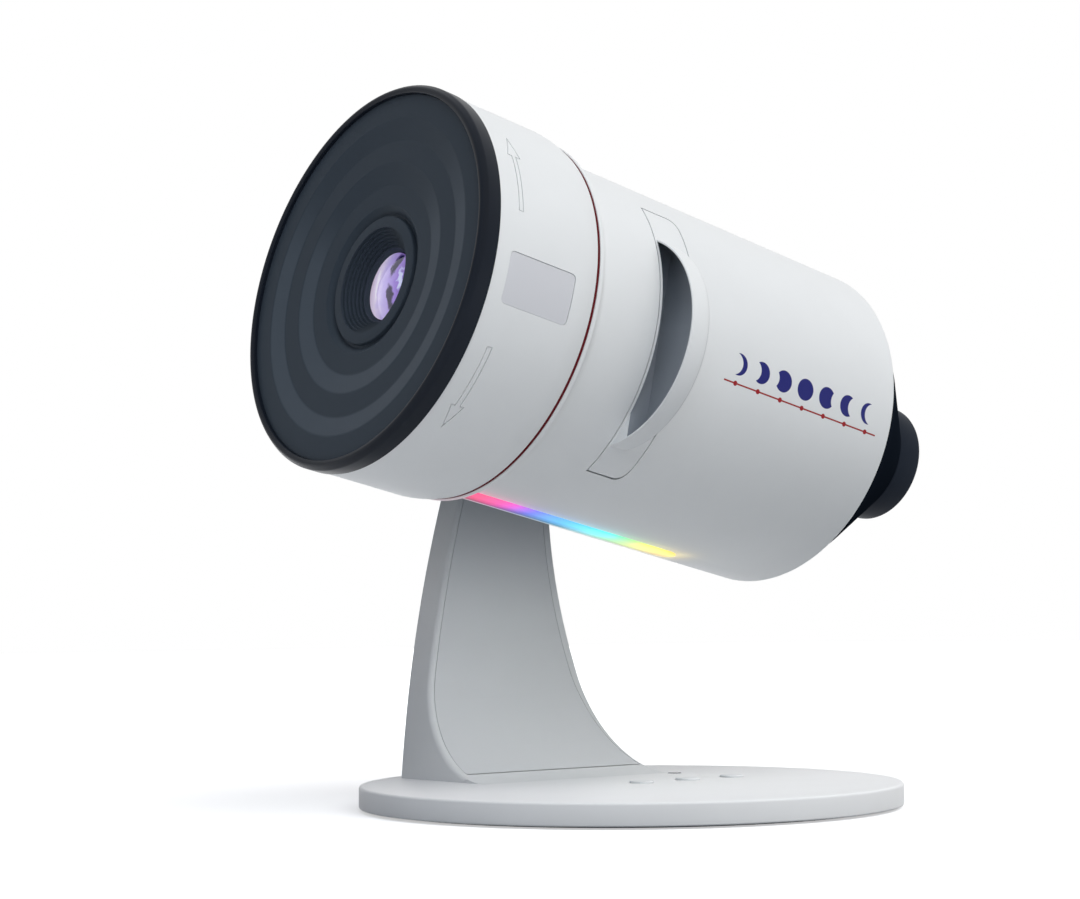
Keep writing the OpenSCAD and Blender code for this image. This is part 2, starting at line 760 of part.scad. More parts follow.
module dial_encoder() color("silver") in_barrel() difference() {
    union() {
        bar(cone_end - rear_wall - 8.6, cone_end + 0.6 - rear_wall, 8);
        bar(cone_end - 3, cone_end + 0.9, 4.5);
    }
    bar(cone_end - rear_wall - 6, cone_end + 2, dial_shaft + running_play);
}

module shaft_screw_places() {
    for (a = [30, 150, 270]) rotate([0, 0, a]) translate([8.4, 0, 0]) children();
}

module tilt_shaft() color("silver")
    in_barrel() translate([0, 0, -pivot_depth]) rotate([0, -90, 0]) difference() {
    union() {
        upright_bar(hub_back - 2, hub_back, 11);
        upright_bar(hub_back, bush_end, shaft_radius);
        upright_bar(bush_end, arm_outer - 0.8, thread_radius);
    }
    upright_bar(0, arm_outer + past, 2.6);
    shaft_screw_places() upright_bar(hub_back - 3, hub_back + past, 1);
}

module tilt_shaft_screws() color("gray") in_barrel() translate([0, 0, -pivot_depth]) rotate([0, -90, 0])
    shaft_screw_places() {
        upright_bar(hub_back - 2.8, hub_back - 2, 1.8);
        upright_bar(hub_back - 2, hub_back + 4.6, 0.85);
    }

module spring_washer() color("gray") in_barrel() translate([0, 0, -pivot_depth]) rotate([0, -90, 0])
    upright_ring(bush_end + 0.05, nut_start - 0.05, 9, thread_radius + 0.03);

module tilt_nut() color("silver")
    in_barrel() translate([0, 0, -pivot_depth]) rotate([0, -90, 0]) difference() {
    translate([0, 0, nut_start]) cylinder(h = 2, r = 7, $fn = 6);
    upright_bar(bush_end, arm_outer, thread_radius + 0.02);
}

// Focus ring and hood, which turn together

module focus_ring() color("white") in_barrel() difference() {
    turned(concat([[ring_bore, rim_depth], [ring_radius - 0.2, rim_depth], [ring_radius, rim_depth + 0.3]],
        arc_points([ring_radius - 19, ring_end - 6.5], 19, 0, 20, 6), [[ring_bore, ring_end]]));
    tube(keeper_start - 0.15, keeper_start + 1.65, body_radius + 1.4, body_radius - past);
    intersection() {
        tube(rim_depth, ring_end, ring_radius + past, ring_radius - label_pocket);
        label_side(label_gap);
    }
}

module front_rim() color("#22272e") in_barrel() turned(concat(
    [[hood_radius + 0.05, hood_front + hood_wall], [hood_radius + 0.15, 0.5]],
    arc_points([hood_radius + 0.9, 0.7], 0.7, 180, 270, 4),
    arc_points([rim_radius - 1.6, 1.4], 1.4, -90, -10, 5),
    [[rim_radius, 2.4], [rim_radius, rim_depth], [ring_bore - 0.06, rim_depth],
    [ring_bore - 0.06, neck_start - 1], [ring_bore - 2, neck_start - 1],
    [ring_bore - 2, hood_front + hood_wall]]));

// One edge of the stepped hood: the falls of its sloped bands, moved back by sunk
function hood_bands(sunk) = [
    [hood_radius, hood_front + sunk],
    [first_band, hood_front + sunk],
    [first_band - band_width, hood_front + band_fall + sunk],
    [first_band - 2 * band_width, hood_front + band_fall + sunk],
    [first_band - 3 * band_width, hood_front + 2 * band_fall + sunk]];

function baffles() = [for (i = [0:baffle_steps - 1]) for (late = [0, 1])
    let (t = i / baffle_steps, next = (i + late) / baffle_steps)
        [bore_front_radius + (bore_radius - bore_front_radius) * t,
            hub_front + (bore_end - hub_front) * next]];

function reversed(list) = [for (i = [len(list) - 1:-1:0]) list[i]];

module stepped_hood() color("#363d45") in_barrel() turned(concat(
    hood_bands(0),
    [[groove_radius + groove_flare, hub_front - 0.5], [groove_radius - 0.5, hub_front + 1.3],
    [groove_radius - 1.2, hub_front + 1.3], [groove_radius - 1.4, hub_front + 0.1]],
    baffles(),
    [[bore_radius, bore_end], [bore_radius, bore_end + 0.8], [bore_radius + 1.4, bore_end + 0.8],
    [groove_radius - 2.8, sleeve_start - 0.05], [groove_radius + 1.6, sleeve_start - 0.05],
    [groove_radius + 1.6, hood_front + 2 * band_fall + hood_wall + 0.1]],
    reversed(hood_bands(hood_wall))));

// What lies beside the label plate's outline, drawn larger by gap
module label_side(gap) {
    rotate([0, 0, label_angle]) sideways(ring_radius / 2, far)
        rounded_rectangle([label_start - gap, -label_height / 2 - gap],
            [label_start + label_length + gap, label_height / 2 + gap], 1.2 + gap);
}

module label_plate() color("gainsboro") in_barrel() intersection() {
    tube(rim_depth, ring_end, ring_radius - label_sunk, ring_radius - label_pocket + 0.01);
    label_side(0);
}

module cam_sleeve() color("dimgray") in_barrel() difference() {
    union() {
        tube(sleeve_start, sleeve_start + 1.6, sleeve_bore + 7, sleeve_bore);
        tube(sleeve_start, sleeve_end, sleeve_bore + sleeve_wall, sleeve_bore);
    }
    for (a = post_angles) for (i = [0:slot_steps - 1])
        let (t = 2 * i / (slot_steps - 1) - 1)
        rotate([0, 0, a + t * focus_turn]) translate([0, 0, -pin_depth - t * focus_travel]) rotate([0, 90, 0])
            upright_bar(cell_radius, far / 4, pin_radius + 0.4);
}

// Lens group, which slides

module lens_cell() color("dimgray") in_barrel() difference() {
    turned([[cell_radius, cell_start + 0.4], [cell_radius - 0.4, cell_start],
        [lens_radius + 1.25, cell_start], [lens_radius + 1.25, lens_seat], [lens_radius + 0.05, lens_seat],
        [lens_radius + 0.05, cell_start + 17.2], [lens_radius - 1, cell_start + 17.2],
        [lens_radius - 1, cell_start + cell_length], [cell_radius, cell_start + cell_length]]);
    for (a = post_angles) rotate([0, 0, a]) translate([0, 0, -pin_depth]) rotate([0, 90, 0])
        upright_bar(lens_radius + 1.5, far / 4, pin_radius + 0.01);
}

module follower_pins() color("silver") in_barrel() for (a = post_angles)
    rotate([0, 0, a]) translate([0, 0, -pin_depth]) rotate([0, 90, 0])
        upright_bar(lens_radius + 1.55, sleeve_bore + sleeve_wall - 0.2, pin_radius);

module front_lens() color("thistle") in_barrel() turned(concat(
    [for (i = [0:6]) let (r = dome_radius * i / 6)
        [r, lens_seat - nose_length - lens_dome * (1 - pow(i / 6, 2))]],
    [[dome_radius, lens_seat], [lens_radius, lens_seat], [lens_radius, lens_seat + lens_edge],
    [0, lens_seat + lens_edge]]));

module lens_spacer() color("dimgray") in_barrel()
    tube(cell_start + 4.8, cell_start + 14.2, lens_radius, lens_radius - 1.2);

module rear_lens() color("thistle") in_barrel() {
    bar(cell_start + 14.2, cell_start + 17.2, lens_radius);
    turned(concat([for (i = [0:5]) let (r = (lens_radius - 1.3) * i / 5)
        [r, cell_start + 13.2 + pow(i / 5, 2)]], [[0, cell_start + 14.3]]));
}

module lens_retaining_ring() color("#22272e") in_barrel()
    tube(cell_start + 0.05, cell_start + 1.78, lens_radius + 1.2, dome_radius + 0.06);

// Disc drawer

// The finger pocket under the handle, drawn larger by skin. Its mouth faces the front.
module pocket(skin) {
    start = drawer_front + pocket_lip - skin;
    intersection() {
        translate([handle_centre, handle_rise, 0])
            bar(start, web_start + skin, handle_radius + skin);
        box([pocket_floor - skin, -far, -far], [far, far, 0]);
    }
}

module drawer_front_handle() color("white") in_barrel() {
    difference() {
        intersection() {
            union() {
                tube(drawer_front, drawer_front + drawer_width, body_radius, inner_radius);
                pocket(pocket_skin);
            }
            sideways(0, far) drawer_outline(0);
            bar(drawer_front, drawer_front + drawer_width, body_radius);
        }
        pocket(0);
    }
    difference() {
        translate([handle_centre, handle_rise, 0]) difference() {
            bar(handle_start, handle_end, handle_radius + handle_thickness);
            bar(handle_start - past, web_start, handle_radius);
        }
        bar(0, body_depth, body_radius - 0.8);
    }
}

module drawer_frame() color("darkslategray") in_barrel() difference() {
    intersection() {
        bar(frame_start, drawer_front + drawer_width - 1, inner_radius - 0.02);
        union() {
            box([-28, -drawer_bottom + 0.1, -frame_start - frame_plate],
                [far, drawer_top - 0.1, -frame_start]);
            box([33, -drawer_bottom + 0.1, -drawer_front - drawer_width + 1],
                [far, drawer_top - 0.1, -frame_start]);
        }
    }
    bar(drawer_front, drawer_front + drawer_width, collar_bore + running_play);
    pocket(pocket_skin + seat_gap);
}

module disc_gear() color("gray") in_barrel() difference() {
    union() {
        translate([0, 0, -gear_start - gear_width]) rotate([0, 0, mesh_angle]) linear_extrude(gear_width)
            polygon(gear_outline(rim_teeth, rim_pitch - 1.2, rim_pitch + 0.8, 1.6, 0.65));
        bar(frame_start - 0.1, gear_start + 1, collar_bore);
    }
    bar(frame_start - past, gear_start + gear_width + past, film_radius - 2.4);
    bar(gear_start + 1.4, gear_start + gear_width + past, film_radius + 0.1);
}

module disc_keeper() color("silver") in_barrel()
    tube(frame_start - 0.95, frame_start - 0.12, collar_bore + 1.6, film_radius - 1.4);

module star_disc() color("midnightblue") in_barrel()
    bar(gear_start + 1.4, gear_start + 1.4 + film_thickness, film_radius);

module drive_pinion() color("beige") in_barrel() translate([pinion_place[0], pinion_place[1], 0]) {
    difference() {
        translate([0, 0, -gear_start - gear_width + 0.4])
            rotate([0, 0, mesh_angle + 180 + 180 / pinion_teeth]) linear_extrude(gear_width - 0.8)
            polygon(gear_outline(pinion_teeth, pinion_pitch - 1.2, pinion_pitch + 0.8, 12.9, 3));
        bar(gear_start, gear_start + gear_width, motor_shaft - 0.5);
    }
    bar(gear_start + gear_width - 0.5, bay_back + bay_wall + 6, motor_shaft);
}

// Rear knob

module rear_knob() color("#22272e") in_barrel() turned(concat(
    [[dial_shaft + 0.02, knob_start + 0.4], [dial_shaft + 3, knob_start + 0.4],
    [dial_shaft + 3, knob_start + 4], [knob_radius - 2, knob_start + 4],
    [knob_radius - 2, knob_start], [knob_radius - 0.3, knob_start],
    [knob_radius, knob_start + 0.3]],
    arc_points([knob_radius - 1.2, knob_start + knob_length - 1.2], 1.2, 0, 90, 5),
    [[0, knob_start + knob_length], [0, knob_start + knob_length - 1.8],
    [dial_shaft + 0.02, knob_start + knob_length - 1.8]]));

module knob_shaft() color("silver") in_barrel()
    bar(cone_end - rear_wall - 5.5, knob_start + knob_length - 1.82, dial_shaft);

base_shell();
base_plate();
rubber_mat();
ballast_plate();
base_screws();
control_board();
button_switches();
power_button();
motion_button();
light_button();
indicator_lens();
power_inlet();
arm_shell();
arm_cover();
arm_screws();
arm_ribbon_cable();
pivot_bush();
friction_washer();
pivot_cap();
barrel_shell();
seam_ring();
ring_keeper();
front_bulkhead();
guide_tube();
disc_bay();
drive_motor();
condenser_holder();
condenser_lens();
led_board();
heat_sink();
rear_bulkhead();
rear_screws();
main_board();
light_bar();
light_strip();
rear_cover();
dial_encoder();
tilt_shaft();
tilt_shaft_screws();
spring_washer();
tilt_nut();
focus_ring();
front_rim();
stepped_hood();
label_plate();
cam_sleeve();
lens_cell();
follower_pins();
front_lens();
lens_spacer();
rear_lens();
lens_retaining_ring();
drawer_front_handle();
drawer_frame();
disc_gear();
disc_keeper();
star_disc();
drive_pinion();
rear_knob();
knob_shaft();
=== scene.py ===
# %% [markdown]
# # A table-top star projector
#
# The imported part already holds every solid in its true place. This script dresses it: smooth outer pieces with
# real edges replace the plain solids that show, and every other solid gets the finish of its real material.
# Loading comes first, because all that follows is placed against the frame.

# %% Load the frame
import json
import math

import bpy
from mathutils import Matrix, Vector

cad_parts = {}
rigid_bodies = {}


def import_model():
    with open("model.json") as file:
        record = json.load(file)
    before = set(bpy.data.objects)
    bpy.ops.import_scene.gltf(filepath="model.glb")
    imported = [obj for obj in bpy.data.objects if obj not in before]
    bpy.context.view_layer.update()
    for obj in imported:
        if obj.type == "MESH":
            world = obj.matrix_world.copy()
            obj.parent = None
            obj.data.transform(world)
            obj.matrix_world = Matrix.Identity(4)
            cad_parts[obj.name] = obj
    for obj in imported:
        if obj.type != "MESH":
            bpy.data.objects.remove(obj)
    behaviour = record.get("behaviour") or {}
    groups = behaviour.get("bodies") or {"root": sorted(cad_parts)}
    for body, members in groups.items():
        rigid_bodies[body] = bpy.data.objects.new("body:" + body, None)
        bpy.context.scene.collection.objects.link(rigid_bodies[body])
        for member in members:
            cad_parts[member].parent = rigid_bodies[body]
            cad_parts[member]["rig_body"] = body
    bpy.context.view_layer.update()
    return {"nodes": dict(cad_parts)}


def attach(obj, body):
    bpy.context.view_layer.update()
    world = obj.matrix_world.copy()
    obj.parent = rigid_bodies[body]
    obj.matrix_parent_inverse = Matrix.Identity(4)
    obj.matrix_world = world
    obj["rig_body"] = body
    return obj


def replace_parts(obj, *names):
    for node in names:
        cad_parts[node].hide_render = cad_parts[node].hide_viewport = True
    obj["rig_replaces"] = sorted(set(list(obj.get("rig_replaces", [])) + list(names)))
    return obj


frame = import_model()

MM = 0.001

# %% [markdown]
# ## Where the barrel stands
#
# The barrel is tilted up by 12 degrees. Turned pieces are easiest to draw about a plain upright axis, so the
# barrel's pieces are drawn there, with depth measured from the front rim, and this matrix then puts them in place.

# %% The barrel's place
REST_TILT = math.radians(12)
PIVOT = Vector((0, 0, 0.121))
PIVOT_DEPTH = 92 * MM
forward = Vector((0, -math.cos(REST_TILT), math.sin(REST_TILT)))
BARREL = Matrix.Translation(PIVOT + PIVOT_DEPTH * forward) @ Matrix.Rotation(math.radians(90) - REST_TILT, 4, "X")
UPRIGHT = Matrix.Identity(4)
TILT_AXIS = Matrix.Translation(PIVOT) @ Matrix.Rotation(math.radians(-90), 4, "Y")
print("middle of the front rim:", [round(v, 4) for v in BARREL.translation])

# %% [markdown]
# ## The camera
#
# The camera stands low in front and to the right, and looks slightly up. Its place and lens were worked out from
# the rim of the round base and the circles of the barrel, so that the picture has the photograph's perspective.

# %% Camera
CAMERA_PLACE = Vector((461.43, -399.96, 47.55)) * MM
YAW, PITCH, ROLL = (math.radians(a) for a in (51.331, 4.838, -0.614))
SENSOR = 36
FOCAL_PIXELS = 2179.13
look = Vector((-math.sin(YAW) * math.cos(PITCH), math.cos(YAW) * math.cos(PITCH), math.sin(PITCH)))
right = Vector((math.cos(YAW), math.sin(YAW), 0))
up = right.cross(look)
right, up = (right * math.cos(ROLL) + up * math.sin(ROLL), up * math.cos(ROLL) - right * math.sin(ROLL))

camera_data = bpy.data.cameras.new("camera")
camera_data.sensor_width = SENSOR
camera_data.lens = FOCAL_PIXELS * SENSOR / 1080
camera_data.clip_start, camera_data.clip_end = 0.01, 30
camera = bpy.data.objects.new("camera", camera_data)
camera.matrix_world = Matrix.Translation(CAMERA_PLACE) @ Matrix((right, up, -look)).transposed().to_4x4()
bpy.context.collection.objects.link(camera)
bpy.context.scene.camera = camera
print("lens", round(camera_data.lens, 2), "mm")

# %% [markdown]
# ## Drawing outlines
#
# A moulded or turned piece starts as an outline. Each corner may carry a radius, because no moulded edge is
# sharp: the small arc catches a line of light, which is what makes an edge look real. A corner is given as two
# numbers and, where it is rounded, a third.


# %% Outlines with rounded corners
def rounded(corners, steps=5):
    """The outline with an arc at each corner that has a radius."""
    points = []
    for i, corner in enumerate(corners):
        here = Vector(corner[:2])
        if len(corner) == 2:
            points.append(tuple(here))
            continue
        before = (Vector(corners[i - 1][:2]) - here)
        after = (Vector(corners[(i + 1) % len(corners)][:2]) - here)
        half = before.angle(after) / 2
        reach = min(corner[2] / math.tan(half), 0.49 * before.length, 0.49 * after.length)
        radius = reach * math.tan(half)
        middle = here + (before.normalized() + after.normalized()).normalized() * radius / math.sin(half)
        start = here + before.normalized() * reach - middle
        turn = start.angle_signed(here + after.normalized() * reach - middle)
        for k in range(steps + 1):
            spot = start.copy()
            spot.rotate(Matrix.Rotation(-turn * k / steps, 2))
            points.append(tuple(middle + spot))
    return points


def arc(centre, radius, start, end, steps=12):
    """Points along part of a circle, from one angle to another, in degrees."""
    angles = [math.radians(start + (end - start) * k / steps) for k in range(steps + 1)]
    return [(centre[0] + radius * math.cos(a), centre[1] + radius * math.sin(a)) for a in angles]


def behind(profile):
    """A barrel profile of (radius, depth) corners, turned to (radius, height)."""
    return [(c[0], -c[1], *c[2:]) for c in profile]


print("a rounded square has", len(rounded([(0, 0, 1), (9, 0, 1), (9, 9, 1), (0, 9, 1)])), "points")

# %% [markdown]
# ## Turning and extruding
#
# Most pieces of this projector are round about one axis. By hand, one would merge a small plane to a single
# vertex, extrude it along the outline, and spin the outline. The flat pieces are the same chain, filled and
# extruded. Both helpers below do just that, and put the finished mesh in its real place, so that the object
# itself stays at the origin.


# %% Helpers for turned and extruded pieces
def select_only(*pieces):
    bpy.ops.object.select_all(action="DESELECT")
    for piece in pieces:
        piece.select_set(True)
    bpy.context.view_layer.objects.active = pieces[0]


def trace(points):
    """Starts a mesh and leaves it in edit mode: one vertex, extruded through the points and back to the first."""
    bpy.ops.object.select_all(action="DESELECT")
    bpy.ops.mesh.primitive_plane_add(size=MM, location=(0, 0, 0))
    bpy.ops.object.mode_set(mode="EDIT")
    bpy.ops.mesh.merge(type="CENTER")
    points = [Vector(p) * MM for p in points]
    bpy.ops.transform.translate(value=points[0])
    for here, there in zip(points, points[1:] + points[:1]):
        bpy.ops.mesh.extrude_vertices_move(TRANSFORM_OT_translate={"value": there - here})
    bpy.ops.mesh.select_all(action="SELECT")


def settle(place):
    """Merges what coincides, turns the faces outwards and puts the mesh in its place."""
    bpy.ops.mesh.select_all(action="SELECT")
    bpy.ops.mesh.remove_doubles(threshold=0.002 * MM)
    bpy.ops.mesh.normals_make_consistent(inside=False)
    bpy.ops.object.mode_set(mode="OBJECT")
    piece = bpy.context.active_object
    piece.matrix_world = place
    bpy.ops.object.transform_apply(location=True, rotation=True, scale=True)
    return piece


def turned(profile, place=BARREL, steps=192, **corners):
    """A closed profile of (radius, height) corners, spun about the upright axis."""
    trace([(radius, 0, height) for radius, height in rounded(profile, **corners)])
    bpy.ops.mesh.spin(steps=steps, angle=math.tau, center=(0, 0, 0), axis=(0, 0, 1))
    return settle(place)


def slab(outline, low, high, axes="xyz", place=UPRIGHT, **corners):
    """A flat outline in the plane of the first two axes, extruded along the third from low to high."""
    def spot(a, b, c):
        return [dict(zip(axes, (a, b, c)))[axis] for axis in "xyz"]

    trace([spot(a, b, low) for a, b in rounded(outline, **corners)])
    bpy.ops.mesh.remove_doubles(threshold=0.002 * MM)
    bpy.ops.mesh.edge_face_add()
    bpy.ops.mesh.extrude_region_move(TRANSFORM_OT_translate={"value": Vector(spot(0, 0, high - low)) * MM})
    return settle(place)


def combine(piece, tool, operation="DIFFERENCE"):
    """Cuts, keeps or joins one solid with another, which is used up."""
    modifier = piece.modifiers.new(operation.lower(), "BOOLEAN")
    modifier.operation, modifier.object, modifier.solver = operation, tool, "EXACT"
    select_only(piece)
    bpy.ops.object.modifier_apply(modifier=modifier.name)
    bpy.data.objects.remove(tool)
    return piece


def soften(piece, width, angle=40, segments=3):
    """Rounds every edge that is sharper than the angle."""
    modifier = piece.modifiers.new("edges", "BEVEL")
    modifier.width, modifier.segments, modifier.limit_method = width * MM, segments, "ANGLE"
    modifier.angle_limit = math.radians(angle)
    select_only(piece)
    bpy.ops.object.modifier_apply(modifier=modifier.name)
    return piece


print("the barrel is turned about", [round(v, 3) for v in forward])

# %% [markdown]
# ## Colours and node graphs
#
# Colours are written as they look on a screen and turned to the linear values that shaders use. A material is a
# small graph, and one helper adds any node with its settings and links, so that each graph below reads as a list.


# %% Helpers for materials
def hex_colour(code):
    channels = [int(code[i:i + 2], 16) / 255 for i in (1, 3, 5)]
    return [c / 12.92 if c <= 0.04045 else ((c + 0.055) / 1.055) ** 2.4 for c in channels] + [1]


def add_node(tree, kind, settings=None, **inputs):
    """Adds a node. Settings are its own properties, inputs are values or another node's output."""
    node = tree.nodes.new(kind)
    for name, value in (settings or {}).items():
        setattr(node, name, value)
    for name, value in inputs.items():
        key = int(name[1:]) if name[0] == "_" and name[1:].isdigit() else name.replace("_", " ")
        socket = node.inputs[key]
        if isinstance(value, bpy.types.NodeSocket):
            tree.links.new(value, socket)
        else:
            socket.default_value = value
    return node


def new_material(name, **shader_inputs):
    """A material with one principled shader, its node tree and its shader node."""
    material = bpy.data.materials.new(name)
    material.use_nodes = True
    tree = material.node_tree
    shader = tree.nodes["Principled BSDF"]
    for socket, value in shader_inputs.items():
        shader.inputs[socket.replace("_", " ")].default_value = value
    return material, tree, shader


def ramp(tree, factor, stops, interpolation="LINEAR"):
    """A colour ramp through (position, colour) stops."""
    node = add_node(tree, "ShaderNodeValToRGB", Fac=factor)
    node.color_ramp.interpolation = interpolation
    elements = node.color_ramp.elements
    while len(elements) < len(stops):
        elements.new(0.5)
    for element, (position, colour) in zip(elements, stops):
        element.position, element.color = position, colour
    return node.outputs["Color"]


def maths(tree, operation, first, second=0.0):
    return add_node(tree, "ShaderNodeMath", {"operation": operation}, _0=first, _1=second).outputs["Value"]


def mix(tree, factor, first, second):
    return add_node(tree, "ShaderNodeMix", {"data_type": "RGBA"}, Factor=factor, _6=first, _7=second).outputs[2]


def smooth_range(tree, value, start, end):
    """Rises softly from none to one as the value goes from start to end."""
    return add_node(tree, "ShaderNodeMapRange", {"interpolation_type": "SMOOTHSTEP"}, Value=value, From_Min=start,
                    From_Max=end).outputs["Result"]


def in_barrel(tree):
    """The piece's own place in the barrel's frame, in millimetres: across, up and (as Z) minus the depth."""
    where = add_node(tree, "ShaderNodeTexCoord").outputs["Object"]
    return add_node(tree, "ShaderNodeMapping", {"vector_type": "TEXTURE"}, Vector=where, Location=BARREL.translation,
                    Rotation=BARREL.to_euler(), Scale=(MM, MM, MM)).outputs["Vector"]


def distance(tree, across, along):
    """Length of a flat vector."""
    return maths(tree, "SQRT", maths(tree, "ADD", maths(tree, "MULTIPLY", across, across),
                                     maths(tree, "MULTIPLY", along, along)))


def in_barrel_parts(tree):
    """Across, up and depth behind the rim, in millimetres."""
    parts = add_node(tree, "ShaderNodeSeparateXYZ", Vector=in_barrel(tree)).outputs
    return parts["X"], parts["Y"], maths(tree, "MULTIPLY", parts["Z"], -1.0)


print("mid grey is", round(hex_colour("#808080")[0], 3), "in linear light")

# %% [markdown]
# ## Moulded white ABS
#
# The housing is injection-moulded ABS with a fine spark-eroded texture: a soft satin sheen, no mirror gloss, and
# hardly visible clouds in the roughness. The texture's grain is about 0.15 mm, too fine for this picture, so it
# is drawn at 0.6 mm and kept very shallow.


# %% A satin plastic, and the plastics made with it
def moulded_plastic(name, colour, roughness, grain=0.6, depth=0.012, shift=0.02, specular=0.5):
    material, tree, shader = new_material(name, Roughness=roughness, IOR=1.5, Specular_IOR_Level=specular)
    where = add_node(tree, "ShaderNodeTexCoord").outputs["Object"]
    clouds = add_node(tree, "ShaderNodeTexNoise", Vector=where, Scale=1 / (18 * MM), Detail=3.0).outputs["Fac"]
    pits = add_node(tree, "ShaderNodeTexNoise", Vector=where, Scale=1 / (grain * MM), Detail=2.0).outputs["Fac"]
    base = hex_colour(colour)
    tone = ramp(tree, clouds, [(0.3, [c * (1 - shift) for c in base[:3]] + [1]), (0.7, base)])
    tree.links.new(tone, shader.inputs["Base Color"])
    sheen = add_node(tree, "ShaderNodeMapRange", Value=clouds, To_Min=roughness - 0.03, To_Max=roughness + 0.03)
    tree.links.new(sheen.outputs["Result"], shader.inputs["Roughness"])
    bump = add_node(tree, "ShaderNodeBump", Strength=0.5, Distance=depth * MM, Height=pits)
    tree.links.new(bump.outputs["Normal"], shader.inputs["Normal"])
    return material


white_abs = moulded_plastic("white_moulded_abs", "#EBEDEE", 0.45, specular=0.2)
base_abs = moulded_plastic("base_moulded_abs", "#F7F8F9", 0.45, specular=0.2)
arm_abs = moulded_plastic("arm_moulded_abs", "#EBEDEE", 0.45, specular=0.2)
cover_abs = moulded_plastic("cover_moulded_abs", "#E4E6E8", 0.47, specular=0.2)
button_abs = moulded_plastic("button_moulded_abs", "#E6E8EA", 0.4)
label_film = moulded_plastic("label_printed_film", "#D6D7DC", 0.5, depth=0.004)
hood_abs = moulded_plastic("hood_matt_black_abs", "#39424C", 0.5, specular=0.06)
rim_abs = moulded_plastic("rim_satin_black_abs", "#161C26", 0.35, specular=0.1)
knob_abs = moulded_plastic("knob_satin_black_abs", "#1C232E", 0.5, specular=0.06)
cone_abs = moulded_plastic("cone_matt_black_abs", "#181E27", 0.7, specular=0.0)
seam_red_abs = moulded_plastic("seam_dark_red_abs", "#5E0E18", 0.5, specular=0.1)
smoked_acrylic = moulded_plastic("indicator_smoked_acrylic", "#5A6068", 0.15, depth=0.002)
# The arm and its cover carry painted shade: their colour is drawn darker towards the top, where the photograph has the
# barrel's shadow.
ARM_SHADE_START, ARM_SHADE_END = 50 * MM, 104 * MM
for material in (arm_abs, cover_abs):
    tree, shader = material.node_tree, material.node_tree.nodes["Principled BSDF"]
    plain = shader.inputs["Base Color"].links[0].from_socket
    height = add_node(tree, "ShaderNodeSeparateXYZ", Vector=add_node(tree, "ShaderNodeTexCoord").outputs["Object"])
    arm_shade_amount = smooth_range(tree, height.outputs["Z"], ARM_SHADE_START, ARM_SHADE_END)
    arm_painted_shade = add_node(tree, "ShaderNodeMix", {"data_type": "RGBA", "blend_type": "MULTIPLY"}, Factor=arm_shade_amount, _6=plain,
                      _7=hex_colour("#8C9299"))
    tree.links.new(arm_painted_shade.outputs[2], shader.inputs["Base Color"])
print("plastics:", len(bpy.data.materials))

# %% [markdown]
# The hood's sloped bands carry a painted highlight: they are drawn lighter than its flats, most of all on their lower
# half, to match the photograph. Being painted into the colour, it stays the same when the barrel moves.

# %% Hood bands with a painted highlight
tree, shader = hood_abs.node_tree, hood_abs.node_tree.nodes["Principled BSDF"]
plain = shader.inputs["Base Color"].links[0].from_socket
across, upward, depth = in_barrel_parts(tree)
radius = distance(tree, across, upward)
bands = 0.0
for inner, outer in ((25.5, 31.3), (37.1, 42.9)):
    band = maths(tree, "MULTIPLY", smooth_range(tree, radius, inner, inner + 0.8),
                 smooth_range(tree, radius, outer, outer - 0.8))
    bands = maths(tree, "ADD", band, bands)
low = smooth_range(tree, maths(tree, "DIVIDE", upward, radius), 0.8, 0.2)
# Painted highlight: the sloped bands are mixed towards a lighter grey, most of all low down.
tree.links.new(mix(tree, maths(tree, "MULTIPLY", bands, low), plain, hex_colour("#4E5761")),
               shader.inputs["Base Color"])
print("hood bands:", 2)

# %% [markdown]
# ## Finishing a piece
#
# Each finished piece gets smooth shading up to an angle, its material, the body that it moves with, and the node
# that it stands for. The body is that of the node itself, so a piece can't ride on the wrong one.


# %% Helper that finishes a piece
def finish(piece, name, node, material, smooth=32):
    piece.name = piece.data.name = name
    select_only(piece)
    bpy.ops.object.shade_smooth_by_angle(angle=math.radians(smooth))
    piece.data.materials.clear()
    piece.data.materials.append(material)
    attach(piece, frame["nodes"][node]["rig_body"])
    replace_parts(piece, node)
    print(name, len(piece.data.polygons), "faces")
    return piece


# %% [markdown]
# ## The base
#
# The round base is one moulded disc with a crisp but rounded top edge. It is turned from its profile, and the
# holes for the three push buttons and the small indicator are cut through its top, each a hair wider than what
# stands in it. That hair is the thin dark line round a real button.

# %% Base disc, plate and mat
BASE_RADIUS, BASE_TOP, LIFT = 75, 6.5, 0.5
base = turned([(0, 4.9), (0, BASE_TOP), (BASE_RADIUS, BASE_TOP, 0.8), (BASE_RADIUS, LIFT, 0.5),
               (73, LIFT), (73, 4.9)], UPRIGHT, steps=256)
BUTTONS = {"power_button": (6, -1), "motion_button": (6, 16), "light_button": (6, 33)}
INDICATOR = (-18, 33)
BUTTON_RADIUS, BUTTON_GAP = 3.3, 0.3


def disc_at(spot, radius, low, high, edge=0.0, steps=64):
    """An upright disc with a softened top edge."""
    return turned([(0, low), (0, high), (radius, high, edge), (radius, low)],
                  Matrix.Translation((spot[0] * MM, spot[1] * MM, 0)), steps=steps)


for spot in BUTTONS.values():
    combine(base, disc_at(spot, BUTTON_RADIUS + BUTTON_GAP, 3, 9, 0.01))
combine(base, disc_at(INDICATOR, 2.12, 3, 9, 0.01))
finish(base, "base_disc", "base_shell", base_abs)

for node, spot in BUTTONS.items():
    button = disc_at(spot, BUTTON_RADIUS, 4.5, BASE_TOP + 0.6, 0.35)
    finish(button, node.replace("_button", "_push"), node, button_abs)
finish(disc_at(INDICATOR, 2, 4.5, BASE_TOP + 0.2, 0.2), "indicator_window", "indicator_lens", smoked_acrylic)

